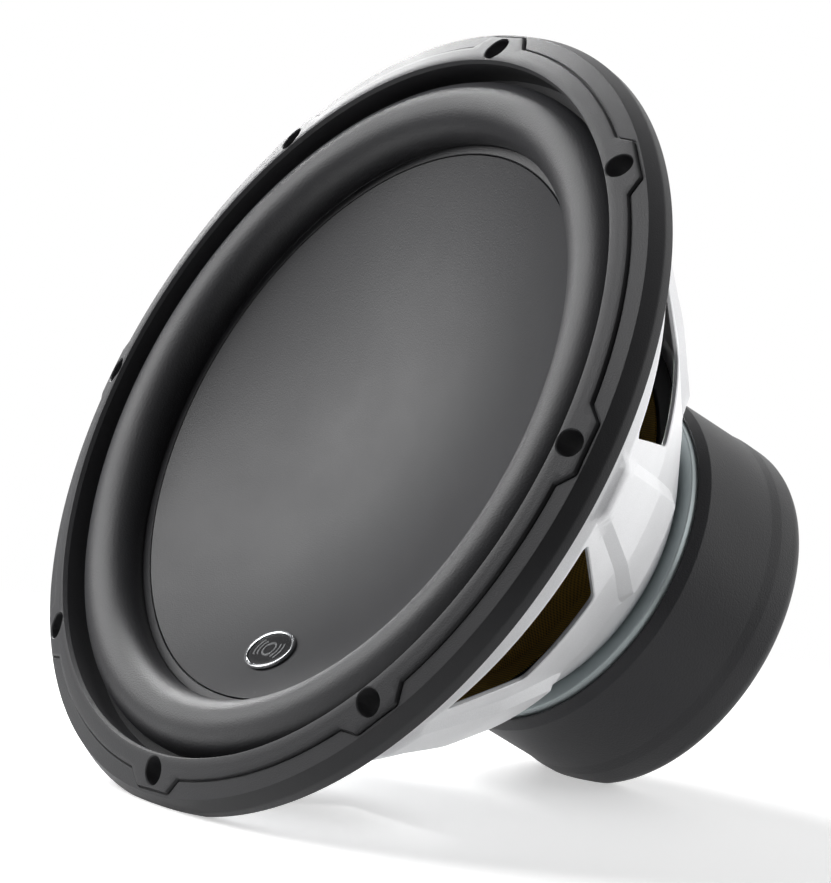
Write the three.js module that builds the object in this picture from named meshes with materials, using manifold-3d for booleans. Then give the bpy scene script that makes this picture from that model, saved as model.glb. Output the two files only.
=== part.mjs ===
// Twelve-inch class car subwoofer: a stamped basket with a clamped half-roll
// surround, a dished cone, a two-ring ferrite motor under a rubber boot, and a
// two-button wire terminal. Millimetres, +Z out of the cone, origin at the
// centre of the boot's flat back, front of the display side towards -Y.
import * as THREE from "three";
import { mergeVertices } from "three/addons/utils/BufferGeometryUtils.js";
import Module from "manifold-3d";

const wasm = await Module();
wasm.setup();

// ---------------------------------------------------------------- dimensions
const GAP = 0.3; // between pieces that rest on each other

// Overall
const MOUNTING_DEPTH = 165.4; // back of the boot to the underside of the flange
const RING_RADIUS = 159.5; // widest edge of the trim ring
const CUTOUT_RADIUS = 139.8; // basket wall that drops into the baffle's hole
const BOLT_CIRCLE_RADIUS = 149;
const BOLT_COUNT = 8;
const FLANGE_HOLE_RADIUS = 4.1;
const RING_HOLE_RADIUS = 5; // wider than the flange's, to take a screw's washer

// Motor, from the back face up
const MAGNET_RADIUS = 69;
const BOOT_BASE = 3;
const BOOT_WALL = 3.9;
const BOOT_EDGE_RADIUS = 10;
const BOOT_CHAMFER = 4.2;
const YOKE_THICKNESS = 10.7;
const MAGNET_THICKNESS = 17.4;
const MAGNET_BORE_RADIUS = 34;
const TOP_PLATE_THICKNESS = 9.8;
const POLE_RADIUS = 24.2;
const VENT_RADIUS = 12;

// Voice coil
const FORMER_INNER_RADIUS = 25.2;
const FORMER_WALL = 1;
const COIL_THICKNESS = 2.1;
const COIL_LENGTH = 32;
const COIL_RUNNING_GAP = 1;
const NECK_LIFT = 14; // rear cone's joint with the former, above the spider

// Basket, pressed from sheet
const SHEET = 2;
const FLANGE_RADIUS = 156.8;
const FOOT_RADIUS = 62;
const FOOT_BORE_RADIUS = 36;
const SPOKE_COUNT = 7;
const FIRST_SPOKE = -91; // degrees, the spoke nearest the display side
const WALL_BEND = { r: 136.5, below: 18.4 }; // below the flange's underside
const SHOULDER_BEND = { r: 111, below: 53.4 };
const WAIST_BEND = { r: 88.5, below: 79.4 };
const WINDOW_TOP_HALF_WIDTH = 39.5;
const WINDOW_FOOT_HALF_WIDTH = 19.5;
const WINDOW_MARGIN = 1.2; // sheet left between a window and the bends
const PAD_TOP_HALF_WIDTH = 12.5;
const PAD_FOOT_HALF_WIDTH = 17.5;
const PAD_RISE = 1.5;
const PLATE_SCREW_COUNT = 6;
const PLATE_SCREW_CIRCLE = 47;
const PLATE_SCREW = { radius: 2, head: 4.2, headHeight: 2.6, reach: 7 };

// Soft suspension and cone
const RING_HEIGHT = 16; // trim ring's lip above the basket flange
const LIP_RADIUS = 142.4;
const BAND_OUTER_RADIUS = 150.6;
const BAND_STEP = 1.5;
const TAB_REACH = 157.4;
const TAB_ROOT_HALF_WIDTH = 15.4;
const TAB_TIP_HALF_WIDTH = 9.9;
const FACE_SLOPE = 0.36;
const RING_SIDE_HEIGHT = 8.2;
const ROLL_CENTRE_RADIUS = 127.4;
const ROLL_RADIUS = 11.7;
const ROLL_START = 201.5; // degrees round the roll's section where it meets the cone
const RUBBER = 1.5;
const SURROUND_FLANGE = 1.2;
const SURROUND_OUTER_RADIUS = 144.6;
const CONE_EDGE_RADIUS = 112.3;
const CONE_RIM_RADIUS = 117;
const CONE_DISH_DEPTH = 26.7;
const CONE_WALL = 2.4;
const REAR_CONE_WALL = 2;
const REAR_CONE_RADIUS = 104.5;
const SPIDER_RADIUS = 79;
const SPIDER_LIFT = 4; // above the basket's waist bend
const SPIDER_CLOTH = 1;
const SPIDER_WAVES = 3;
const SPIDER_AMPLITUDE = 3.4;
const COLLAR = { wall: 2.9, height: 3.4, lift: 3.6 };
const LEDGE_OVERLAP = 4.5; // width of the spider's rim that rests on its ledge
const LEDGE_THICKNESS = 6;

// Badge on the cone
const BADGE = { x: -90, y: 0, halfLength: 12.5, halfWidth: 9.4 };
const BADGE_THICKNESS = 1.2;
const BADGE_RIM = 1.2;
const BADGE_LIFT = 0.9;
const BADGE_FACETS = 28;

// Wire terminal
const TERMINAL_SPOKE = 4; // spokes round from the first one
const HOUSING = { width: 38, height: 24, depth: 15, wall: 2.4 };
const BUTTON = { width: 11, height: 9, spread: 9.2, rise: 2.4, proud: 5, stroke: 3, clearance: 0.35 };
const SPRING = { radius: 2.6, wire: 0.6, turns: 4, length: 3.6, seat: 0.4 };
const WIRE_HOLE = { radius: 2.6, height: 6.4 };
const TAB = { width: 6, thickness: 0.8, length: 15, front: 7.4, inset: 4.2 };
const TERMINAL_SCREW = { radius: 1.3, head: 2.2, headHeight: 1.4, inset: 2.6, reach: 5 };
const LEAD_RADIUS = 1.1;
const LEAD_SIDES = 8;

// Facets round the axis
const FINE = 56;
const MEDIUM = 40;
const COARSE = 28;
const HOLE = 14;

// ------------------------------------------------------------ derived heights
const flangeTop = MOUNTING_DEPTH + SHEET;
const yokeBase = BOOT_BASE + GAP;
const yokeTop = yokeBase + YOKE_THICKNESS;
const lowerMagnetBase = yokeTop + GAP;
const upperMagnetBase = lowerMagnetBase + MAGNET_THICKNESS + GAP;
const plateBase = upperMagnetBase + MAGNET_THICKNESS + GAP;
const plateTop = plateBase + TOP_PLATE_THICKNESS;
const footBase = plateTop + GAP;
const bootInnerRadius = MAGNET_RADIUS + GAP;
const bootRadius = bootInnerRadius + BOOT_WALL;
const formerRadius = FORMER_INNER_RADIUS + FORMER_WALL;
const collarRadius = formerRadius + GAP + COLLAR.wall;
const coilInnerRadius = formerRadius + GAP;
const coilRadius = coilInnerRadius + COIL_THICKNESS;
const coilMiddle = (plateBase + plateTop) / 2;
const lipTop = flangeTop + RING_HEIGHT;
const surroundBase = flangeTop + GAP;
const surroundFlangeTop = surroundBase + SURROUND_FLANGE;
const rollCentreHeight = surroundFlangeTop + 1.9;
const coneEdgeHeight = surroundBase - 1;
const wallBendHeight = MOUNTING_DEPTH - WALL_BEND.below;
const shoulderHeight = MOUNTING_DEPTH - SHOULDER_BEND.below;
const waistHeight = MOUNTING_DEPTH - WAIST_BEND.below;
const spiderHeight = waistHeight + SPIDER_LIFT;
const neckHeight = spiderHeight + NECK_LIFT;
const degrees = THREE.MathUtils.degToRad;

// ------------------------------------------------------------------- geometry
function solid(geometry) {
  const bare = geometry.index ? geometry.toNonIndexed() : geometry.clone();
  bare.deleteAttribute("normal");
  bare.deleteAttribute("uv");
  const merged = mergeVertices(bare, 1e-4);
  const corners = merged.index.array;
  const kept = [];
  for (let i = 0; i < corners.length; i += 3) {
    const [a, b, c] = corners.subarray(i, i + 3);
    if (a !== b && b !== c && c !== a) kept.push(a, b, c);
  }
  return new wasm.Manifold(
    new wasm.Mesh({
      numProp: 3,
      vertProperties: merged.attributes.position.array,
      triVerts: new Uint32Array(kept),
    }),
  );
}

function surface(body) {
  const { vertProperties, triVerts } = body.getMesh();
  const geometry = new THREE.BufferGeometry();
  geometry.setAttribute("position", new THREE.BufferAttribute(vertProperties, 3));
  geometry.setIndex(new THREE.BufferAttribute(triVerts, 1));
  geometry.computeVertexNormals();
  return geometry;
}

// A ring turned round +Z from a closed outline of [radius, height] points.
function turned(outline, segments = MEDIUM) {
  const area = outline.reduce((sum, [r, z], i) => {
    const [nextR, nextZ] = outline[(i + 1) % outline.length];
    return sum + r * nextZ - nextR * z;
  }, 0);
  const points = area > 0 ? [...outline] : [...outline].reverse();
  const path = [...points, points[0]].map(([r, z]) => new THREE.Vector2(r, z));
  return solid(new THREE.LatheGeometry(path, segments).rotateX(Math.PI / 2));
}

// A disc turned round +Z: the outline runs from the axis back to the axis.
function spun(outline, segments = MEDIUM) {
  const path = outline.map(([r, z]) => new THREE.Vector2(r, z));
  return solid(new THREE.LatheGeometry(path, segments).rotateX(Math.PI / 2));
}

function tube(inner, outer, base, top, segments = MEDIUM) {
  return turned([[inner, base], [outer, base], [outer, top], [inner, top]], segments);
}

function box(width, depth, height, x = 0, y = 0, z = 0) {
  return solid(new THREE.BoxGeometry(width, depth, height).translate(x, y, z));
}

function peg(radius, height, x = 0, y = 0, z = 0, segments = 24) {
  const cylinder = new THREE.CylinderGeometry(radius, radius, height, segments);
  return solid(cylinder.rotateX(Math.PI / 2).translate(x, y, z));
}

function prism(points, depth) {
  const shape = new THREE.Shape(points.map(([x, y]) => new THREE.Vector2(x, y)));
  return new THREE.ExtrudeGeometry(shape, { depth, bevelEnabled: false });
}

// A prism whose outline is drawn in (sideways, height) and which runs outward
// along the direction at `angle` degrees, between two radii.
function radialPrism(points, from, to, angle) {
  const geometry = prism(points, to - from);
  geometry.rotateX(Math.PI / 2).rotateZ(Math.PI / 2); // outline upright, depth along X
  return solid(geometry.translate(from, 0, 0).rotateZ(degrees(angle)));
}

// Angles of `count` copies spread evenly round the axis.
function around(count, start = 0) {
  return Array.from({ length: count }, (_, i) => start + (i * 360) / count);
}

function onCircle(radius, angle) {
  return [radius * Math.cos(degrees(angle)), radius * Math.sin(degrees(angle))];
}

// Upright round holes on a circle about the axis.
function drill(body, count, circle, radius, height) {
  return around(count).reduce((rest, angle) => {
    const [x, y] = onCircle(circle, angle);
    return rest.subtract(peg(radius, 3 * height, x, y, height, HOLE));
  }, body);
}

// Moves an open outline sideways by `distance`, to the left of its direction.
function offset(points, distance) {
  const normals = points.slice(1).map(([x, y], i) => {
    const [px, py] = points[i];
    const length = Math.hypot(x - px, y - py);
    return [-(y - py) / length, (x - px) / length];
  });
  return points.map(([x, y], i) => {
    const a = normals[Math.max(i - 1, 0)];
    const b = normals[Math.min(i, normals.length - 1)];
    const scale = distance / (1 + a[0] * b[0] + a[1] * b[1]);
    return [x + (a[0] + b[0]) * scale, y + (a[1] + b[1]) * scale];
  });
}

function arc(cx, cy, radius, from, to, steps) {
  return Array.from({ length: steps + 1 }, (_, i) => {
    const angle = degrees(from + ((to - from) * i) / steps);
    return [cx + radius * Math.cos(angle), cy + radius * Math.sin(angle)];
  });
}

// ------------------------------------------------------------------ materials
function finish(color, roughness, metalness) {
  return new THREE.MeshStandardMaterial({ color, roughness, metalness });
}
const RING_PLASTIC = ["#3b3b40", 0.55, 0];
const SILVER_PAINT = ["#d6d7d9", 0.4, 0.6];
const SOFT_RUBBER = ["#3a3a3f", 0.6, 0];
const CONE_PLASTIC = ["#4a4a4f", 0.5, 0];
const BOOT_RUBBER = ["#2b2b2f", 0.75, 0];
const ZINC_PLATE = ["#9fadb3", 0.35, 0.9];
const FERRITE = ["#26262a", 0.8, 0];
const STEEL = ["#8d9094", 0.4, 0.9];
const COPPER = ["#a4572c", 0.4, 0.9];
const BRAID = ["#c9c5bb", 0.5, 0.8];
const SPIDER_CLOTH_COLOUR = ["#7a6118", 0.9, 0];
const AMBER_FILM = ["#a1762c", 0.4, 0];
const BLACK_PLASTIC = ["#1d1d20", 0.5, 0];
const RED_PLASTIC = ["#a5201d", 0.45, 0];
const BRIGHT_METAL = ["#d2d4d7", 0.2, 1];

const subwoofer = new THREE.Group();
subwoofer.name = "subwoofer";

function add(name, body, look, parent = subwoofer) {
  const mesh = new THREE.Mesh(surface(body), finish(...look));
  mesh.name = name;
  parent.add(mesh);
  return mesh;
}

// ---------------------------------------------------------------------- motor
function magnetBoot() {
  const rimTop = plateTop - 2.9;
  const edge = BOOT_EDGE_RADIUS;
  const outline = [
    [VENT_RADIUS + 2, 0],
    ...arc(bootRadius - edge, edge, edge, -90, 0, 4),
    [bootRadius, rimTop - BOOT_CHAMFER],
    [bootInnerRadius + 0.6, rimTop],
    [bootInnerRadius, rimTop],
    [bootInnerRadius, BOOT_BASE + 6],
    [bootInnerRadius - 6, BOOT_BASE],
    [VENT_RADIUS + 2, BOOT_BASE],
  ];
  return turned(outline, FINE);
}

function poleYoke() {
  const backRadius = MAGNET_RADIUS - 1;
  const chamfer = 6.5;
  const outline = [
    [VENT_RADIUS + 3, yokeBase],
    [backRadius - chamfer, yokeBase],
    [backRadius, yokeBase + chamfer],
    [backRadius, yokeTop],
    [POLE_RADIUS + 3, yokeTop],
    [POLE_RADIUS, yokeTop + 3],
    [POLE_RADIUS, plateTop + 1],
    [POLE_RADIUS - 1, plateTop + 2],
    [VENT_RADIUS + 2, plateTop + 2],
    [VENT_RADIUS, plateTop],
    [VENT_RADIUS, yokeBase + 3],
  ];
  return turned(outline);
}

function magnetRing(base) {
  const chamfer = 1.2;
  const top = base + MAGNET_THICKNESS;
  const outline = [
    [MAGNET_BORE_RADIUS, base],
    [MAGNET_RADIUS - chamfer, base],
    [MAGNET_RADIUS, base + chamfer],
    [MAGNET_RADIUS, top - chamfer],
    [MAGNET_RADIUS - chamfer, top],
    [MAGNET_BORE_RADIUS, top],
  ];
  return turned(outline);
}

function topPlate() {
  const bore = coilRadius + COIL_RUNNING_GAP;
  const ring = turned([
    [bore, plateBase],
    [MAGNET_RADIUS, plateBase],
    [MAGNET_RADIUS, plateTop - 0.6],
    [MAGNET_RADIUS - 0.6, plateTop],
    [bore, plateTop],
  ], FINE);
  return drill(ring, PLATE_SCREW_COUNT, PLATE_SCREW_CIRCLE, PLATE_SCREW.radius + GAP, plateTop);
}

function plateScrew(angle) {
  const [x, y] = onCircle(PLATE_SCREW_CIRCLE, angle);
  return panScrew(PLATE_SCREW, footBase + SHEET + GAP).translate([x, y, 0]);
}

// A screw along -Z whose pan head rests at `seat`, with a recess in the head.
function panScrew({ radius, head, headHeight, reach }, seat) {
  const length = reach + headHeight / 2;
  const shank = peg(radius, length, 0, 0, seat + headHeight / 2 - length / 2, HOLE);
  return panHead(head, headHeight, seat).add(shank);
}

function panHead(radius, height, base) {
  return spun([
    [0, base],
    [radius, base],
    [radius, base + height * 0.55],
    [radius * 0.7, base + height],
    [radius * 0.3, base + height],
    [0, base + height * 0.7],
  ], 2 * HOLE);
}

// --------------------------------------------------------------------- basket
const outerSheet = [
  [FOOT_RADIUS, footBase],
  [WAIST_BEND.r, waistHeight],
  [SHOULDER_BEND.r, shoulderHeight],
  [WALL_BEND.r, wallBendHeight],
  [CUTOUT_RADIUS, MOUNTING_DEPTH - 1.2],
];
const innerSheet = offset(outerSheet, SHEET);

// Radius of the basket's inside wall at a height.
function insideRadius(height) {
  const upper = innerSheet.findIndex(([, z]) => z >= height);
  const [r0, z0] = innerSheet[upper - 1];
  const [r1, z1] = innerSheet[upper];
  return r0 + ((r1 - r0) * (height - z0)) / (z1 - z0);
}

function windowOutline() {
  const top = wallBendHeight - WINDOW_MARGIN;
  const foot = shoulderHeight + WINDOW_MARGIN;
  const cut = 2.5;
  return [
    [-WINDOW_FOOT_HALF_WIDTH + cut, foot],
    [WINDOW_FOOT_HALF_WIDTH - cut, foot],
    [WINDOW_FOOT_HALF_WIDTH, foot + cut],
    [WINDOW_TOP_HALF_WIDTH, top - cut],
    [WINDOW_TOP_HALF_WIDTH - cut, top],
    [-WINDOW_TOP_HALF_WIDTH + cut, top],
    [-WINDOW_TOP_HALF_WIDTH, top - cut],
    [-WINDOW_FOOT_HALF_WIDTH, foot + cut],
  ];
}

// The raised flat panel on a spoke: a folded strip of sheet, trimmed to a
// trapezium that widens towards the foot.
function spokePad(angle) {
  const line = [
    [WAIST_BEND.r - 1.6, waistHeight - 1.8],
    [WAIST_BEND.r, waistHeight],
    [SHOULDER_BEND.r, shoulderHeight],
    [WALL_BEND.r, wallBendHeight],
    [WALL_BEND.r + 0.6, wallBendHeight + 3.4],
  ];
  const section = [...offset(line, -PAD_RISE), ...offset(line, SHEET * 0.9).reverse()];
  const strip = prism(section, 2 * PAD_FOOT_HALF_WIDTH);
  strip.rotateX(Math.PI / 2).translate(0, PAD_FOOT_HALF_WIDTH, 0);
  const top = wallBendHeight + 3;
  const foot = waistHeight - 2;
  const trim = radialPrism([
    [-PAD_FOOT_HALF_WIDTH, foot],
    [PAD_FOOT_HALF_WIDTH, foot],
    [PAD_FOOT_HALF_WIDTH, foot + 6],
    [PAD_TOP_HALF_WIDTH, top],
    [-PAD_TOP_HALF_WIDTH, top],
    [-PAD_FOOT_HALF_WIDTH, foot + 6],
  ], FOOT_RADIUS, RING_RADIUS, 0);
  return solid(strip).intersect(trim).rotate([0, 0, angle]);
}

function basket() {
  const outline = [
    [FOOT_BORE_RADIUS, footBase],
    ...outerSheet,
    [CUTOUT_RADIUS + 0.8, MOUNTING_DEPTH],
    [FLANGE_RADIUS, MOUNTING_DEPTH],
    [FLANGE_RADIUS, flangeTop],
    [innerSheet.at(-1)[0], flangeTop],
    ...innerSheet.slice(1, -1).reverse(),
    [insideRadius(footBase + SHEET), footBase + SHEET],
    [FOOT_BORE_RADIUS, footBase + SHEET],
  ];
  const pads = around(SPOKE_COUNT, FIRST_SPOKE).map(spokePad);
  const windows = around(SPOKE_COUNT, FIRST_SPOKE + 180 / SPOKE_COUNT)
    .map((angle) => radialPrism(windowOutline(), FOOT_RADIUS, RING_RADIUS, angle));
  const pressed = pads.reduce((body, pad) => body.add(pad), turned(outline, FINE));
  const pierced = windows.reduce((body, window) => body.subtract(window), pressed);
  const bolted = drill(pierced, BOLT_COUNT, BOLT_CIRCLE_RADIUS, FLANGE_HOLE_RADIUS, flangeTop);
  const seated = drill(bolted, PLATE_SCREW_COUNT, PLATE_SCREW_CIRCLE, PLATE_SCREW.radius + GAP, footBase);
  return [leadSlot(), ...terminalScrewHoles()].reduce((body, cut) => body.subtract(cut), seated);
}

// The part of a body between two heights.
function band(body, from, to) {
  const width = 3 * RING_RADIUS;
  return body.intersect(box(width, width, to - from, 0, 0, (from + to) / 2));
}

// The body that reaches furthest in a direction.
function furthest(bodies, angle) {
  const [x, y] = onCircle(1, angle);
  const reach = (body) => {
    const { min, max } = body.boundingBox();
    return x * (min[0] + max[0]) + y * (min[1] + max[1]);
  };
  return bodies.reduce((best, body) => (reach(body) > reach(best) ? body : best));
}

// The pressing in zones, each a simple solid: foot, lower shell, spokes, wall, flange.
function basketZones() {
  const body = basket();
  const shellBase = footBase + SHEET + GAP;
  const windowFoot = shoulderHeight + WINDOW_MARGIN;
  const windowTop = wallBendHeight - WINDOW_MARGIN;
  const wallTop = MOUNTING_DEPTH - 2 * GAP;
  const spokes = band(body, windowFoot + GAP, windowTop - GAP).decompose();
  return [
    ["basket_foot", band(body, 0, shellBase)],
    ["basket_shell", band(body, shellBase + GAP, windowFoot)],
    ...around(SPOKE_COUNT, FIRST_SPOKE).map((angle, i) => [
      `basket_spoke_${i + 1}`,
      furthest(spokes, angle),
    ]),
    ["basket_wall", band(body, windowTop, wallTop)],
    ["basket_flange", band(body, wallTop + GAP, lipTop)],
  ];
}

// ------------------------------------------------------------------ trim ring
const bandTop = (radius) => lipTop - FACE_SLOPE * (radius - LIP_RADIUS - 2.4);
const bandStepHeight = bandTop(BAND_OUTER_RADIUS) - BAND_STEP;

function trimRing() {
  const sideTop = flangeTop + GAP + RING_SIDE_HEIGHT;
  const wallInset = 0.5;
  const ring = turned([
    [LIP_RADIUS, surroundFlangeTop + GAP],
    [SURROUND_OUTER_RADIUS + 0.6, surroundFlangeTop + GAP],
    [SURROUND_OUTER_RADIUS + 0.6, surroundBase],
    [RING_RADIUS - wallInset, surroundBase],
    [RING_RADIUS, sideTop - 1.2],
    [RING_RADIUS - 0.9, sideTop],
    [BAND_OUTER_RADIUS + 0.2, bandStepHeight],
    [BAND_OUTER_RADIUS, bandTop(BAND_OUTER_RADIUS)],
    [LIP_RADIUS + 2.4, lipTop],
    [LIP_RADIUS + 1, lipTop - 0.2],
    [LIP_RADIUS, lipTop - 1.4],
  ], FINE);
  const tabSheet = turned([
    [BAND_OUTER_RADIUS - 2, bandTop(BAND_OUTER_RADIUS - 2) - 0.01],
    [BAND_OUTER_RADIUS - 2, bandStepHeight - 4],
    [TAB_REACH + 1, bandStepHeight - 4],
    [TAB_REACH + 1, bandTop(TAB_REACH + 1) - 0.01],
  ], FINE);
  const root = TAB_ROOT_HALF_WIDTH;
  const tip = TAB_TIP_HALF_WIDTH;
  const tabs = around(BOLT_COUNT).map((angle) => {
    const plan = prism([
      [BAND_OUTER_RADIUS - 2, -root - 1],
      [BAND_OUTER_RADIUS, -root],
      [TAB_REACH - 1.5, -tip],
      [TAB_REACH, -tip + 1.5],
      [TAB_REACH, tip - 1.5],
      [TAB_REACH - 1.5, tip],
      [BAND_OUTER_RADIUS, root],
      [BAND_OUTER_RADIUS - 2, root + 1],
    ], lipTop);
    return tabSheet.intersect(solid(plan.rotateZ(degrees(angle))));
  });
  const raised = tabs.reduce((body, tab) => body.add(tab), ring);
  return drill(raised, BOLT_COUNT, BOLT_CIRCLE_RADIUS, RING_HOLE_RADIUS, lipTop);
}

// ---------------------------------------------------------- cone and surround
const rollFoot = [
  ROLL_CENTRE_RADIUS + ROLL_RADIUS * Math.cos(degrees(ROLL_START)),
  rollCentreHeight + ROLL_RADIUS * Math.sin(degrees(ROLL_START)),
];

function surround() {
  const inner = CONE_EDGE_RADIUS + GAP;
  const hollow = ROLL_RADIUS - RUBBER;
  const outerArc = arc(ROLL_CENTRE_RADIUS, rollCentreHeight, ROLL_RADIUS, ROLL_START, 0, 9);
  const innerArc = arc(ROLL_CENTRE_RADIUS, rollCentreHeight, hollow, 0, 190, 7);
  const innerFlangeTop = rollFoot[1] + 0.2;
  const innerFlangeBase = innerFlangeTop - 1.3;
  return turned([
    [inner, innerFlangeTop],
    ...outerArc,
    [ROLL_CENTRE_RADIUS + ROLL_RADIUS + 0.6, surroundFlangeTop],
    [SURROUND_OUTER_RADIUS, surroundFlangeTop],
    [SURROUND_OUTER_RADIUS, surroundBase],
    [ROLL_CENTRE_RADIUS + hollow, surroundBase],
    ...innerArc,
    [rollFoot[0] + 1.4, innerFlangeBase],
    [inner, innerFlangeBase],
  ], MEDIUM);
}

// Height of the dish's face at a radius.
function dishHeight(radius) {
  return coneEdgeHeight - CONE_DISH_DEPTH * (1 - (radius / CONE_EDGE_RADIUS) ** 2);
}

function coneDish() {
  const steps = 6;
  const face = Array.from({ length: steps + 1 }, (_, i) => {
    const radius = (CONE_EDGE_RADIUS * i) / steps;
    return [radius, dishHeight(radius)];
  });
  const rimTop = rollFoot[1] - 1.4;
  const rim = [
    [CONE_EDGE_RADIUS, rimTop],
    [CONE_RIM_RADIUS, rimTop],
    [CONE_RIM_RADIUS, rimTop - CONE_WALL],
  ];
  const back = face.slice(0, -1).map(([r, z]) => [r, z - CONE_WALL]);
  return spun([...back, ...rim.reverse(), ...[...face].reverse()]);
}

function coneBody() {
  const top = dishHeight(REAR_CONE_RADIUS - 2.5) - CONE_WALL - 1;
  const neck = formerRadius + GAP;
  const line = [
    [neck + REAR_CONE_WALL, neckHeight - 4],
    [neck + REAR_CONE_WALL, neckHeight],
    [REAR_CONE_RADIUS, top],
  ];
  const inside = offset(line, REAR_CONE_WALL);
  const lip = inside.at(-1);
  const section = [...line, [lip[0], top], ...inside.slice(0, -1).reverse()];
  return turned(section, MEDIUM);
}

// An oval plate, smaller all round than the badge by `inset`.
function badgePlate(inset, thickness) {
  const outline = around(BADGE_FACETS).map((angle) => [
    (BADGE.halfWidth - inset) * Math.cos(degrees(angle)),
    (BADGE.halfLength - inset) * Math.sin(degrees(angle)),
  ]);
  return solid(prism(outline, thickness));
}

function badgeRim() {
  const hole = badgePlate(BADGE_RIM, 3 * BADGE_THICKNESS).translate([0, 0, -BADGE_THICKNESS]);
  return badgePlate(0, BADGE_THICKNESS).subtract(hole);
}

// The badge lies on the dish: tilted with it, and clear of its hollow.
function badgeGroup() {
  const radius = Math.abs(BADGE.x);
  const slope = Math.atan((2 * CONE_DISH_DEPTH * radius) / CONE_EDGE_RADIUS ** 2);
  const group = new THREE.Group();
  const x = BADGE.x + BADGE_LIFT * Math.sin(slope);
  const z = dishHeight(radius) + BADGE_LIFT * Math.cos(slope);
  group.position.set(x, BADGE.y, z);
  group.rotation.y = slope;
  return group;
}

// --------------------------------------------------- former, coil and spider
function spider() {
  const inner = formerRadius + GAP;
  const start = inner + 4.5;
  const end = SPIDER_RADIUS - 5.5;
  const pitch = (end - start) / SPIDER_WAVES;
  const waves = Array.from({ length: 2 * SPIDER_WAVES }, (_, i) => [
    start + pitch * (i / 2 + 0.25),
    spiderHeight + (i % 2 ? -1 : 1) * SPIDER_AMPLITUDE,
  ]);
  const line = [
    [inner, spiderHeight],
    [start, spiderHeight],
    ...waves,
    [end, spiderHeight],
    [SPIDER_RADIUS, spiderHeight],
  ];
  const below = offset(line, -SPIDER_CLOTH / 2);
  const above = offset(line, SPIDER_CLOTH / 2);
  return turned([...below, ...above.reverse()], MEDIUM);
}

function formerCollar() {
  const base = spiderHeight + COLLAR.lift;
  return tube(formerRadius + GAP, collarRadius, base, base + COLLAR.height, COARSE);
}

function spiderLedge() {
  const inner = SPIDER_RADIUS - LEDGE_OVERLAP;
  const top = spiderHeight - SPIDER_CLOTH / 2 - GAP;
  const base = top - LEDGE_THICKNESS;
  const wallGap = GAP * 1.6;
  const waist = innerSheet[1];
  return turned([
    [inner, base],
    [insideRadius(base) - wallGap, base],
    [waist[0] - wallGap, waist[1]],
    [insideRadius(top) - wallGap, top],
    [inner, top],
  ]);
}

// ------------------------------------------------------------------- terminal
// The terminal's frame: x sideways, y up the slope, z out of the spoke's pad.
const terminalAngle = FIRST_SPOKE + (TERMINAL_SPOKE * 360) / SPOKE_COUNT;
const padRun = [SHOULDER_BEND.r - WAIST_BEND.r, shoulderHeight - waistHeight];
const padSlope = Math.atan2(padRun[1], padRun[0]);
const padMiddle = [(SHOULDER_BEND.r + WAIST_BEND.r) / 2, (shoulderHeight + waistHeight) / 2];

function terminalFrame() {
  const group = new THREE.Group();
  const out = new THREE.Vector3(Math.sin(padSlope), 0, -Math.cos(padSlope));
  const up = new THREE.Vector3(Math.cos(padSlope), 0, Math.sin(padSlope));
  const side = new THREE.Vector3().crossVectors(up, out);
  const origin = new THREE.Vector3(padMiddle[0], 0, padMiddle[1]);
  origin.addScaledVector(out, PAD_RISE + GAP);
  group.matrix.makeBasis(side, up, out).setPosition(origin);
  group.matrix.decompose(group.position, group.quaternion, group.scale);
  const turn = new THREE.Group();
  turn.rotation.z = degrees(terminalAngle);
  turn.add(group);
  turn.updateMatrixWorld(true);
  return { turn, group };
}
const terminal = terminalFrame();

// A cutter drawn in the terminal's frame, brought into the subwoofer's.
function fromTerminal(geometry) {
  return solid(geometry.applyMatrix4(terminal.group.matrixWorld));
}

const pocketDepth = HOUSING.depth - HOUSING.wall;
const tabHeight = TAB.inset - HOUSING.height / 2;
const terminalScrewX = HOUSING.width / 2 - TERMINAL_SCREW.inset;
const terminalScrewY = HOUSING.height / 2 - TERMINAL_SCREW.inset;
const buttonBase = HOUSING.wall + SPRING.seat + SPRING.length + 0.4;

function terminalHousing() {
  const block = box(HOUSING.width, HOUSING.height, HOUSING.depth, 0, 0, HOUSING.depth / 2);
  return [-1, 1].flatMap(housingCuts).reduce((body, cut) => body.subtract(cut), block);
}

// Button pocket, wire hole, contact slot and screw hole on one side of the block.
function housingCuts(side) {
  const x = side * BUTTON.spread;
  const width = BUTTON.width + 2 * BUTTON.clearance;
  const height = BUTTON.height + 2 * BUTTON.clearance;
  const pocket = box(width, height, 2 * pocketDepth, x, BUTTON.rise, HOUSING.depth);
  const wireHole = peg(WIRE_HOLE.radius, HOUSING.height, 0, 0, 0, HOLE).rotate([90, 0, 0]);
  const tabSlot = box(TAB.width + 0.8, TAB.thickness + 0.8, 2 * TAB.front + 1, x, tabHeight, 0);
  const screwHole = peg(TERMINAL_SCREW.radius + GAP, 3 * HOUSING.depth, 0, 0, 0, HOLE);
  return [
    pocket,
    wireHole.translate([x, -HOUSING.height / 2, WIRE_HOLE.height]),
    tabSlot,
    screwHole.translate([side * terminalScrewX, terminalScrewY, 0]),
  ];
}

function terminalScrewHoles() {
  return [-1, 1].map((side) => {
    const radius = TERMINAL_SCREW.radius + GAP;
    const hole = new THREE.CylinderGeometry(radius, radius, 2 * TERMINAL_SCREW.reach + 4, HOLE);
    return fromTerminal(hole.rotateX(Math.PI / 2).translate(side * terminalScrewX, terminalScrewY, 0));
  });
}

function terminalScrew() {
  const screw = { ...TERMINAL_SCREW, reach: TERMINAL_SCREW.reach + HOUSING.depth };
  return panScrew(screw, HOUSING.depth + GAP);
}

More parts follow.
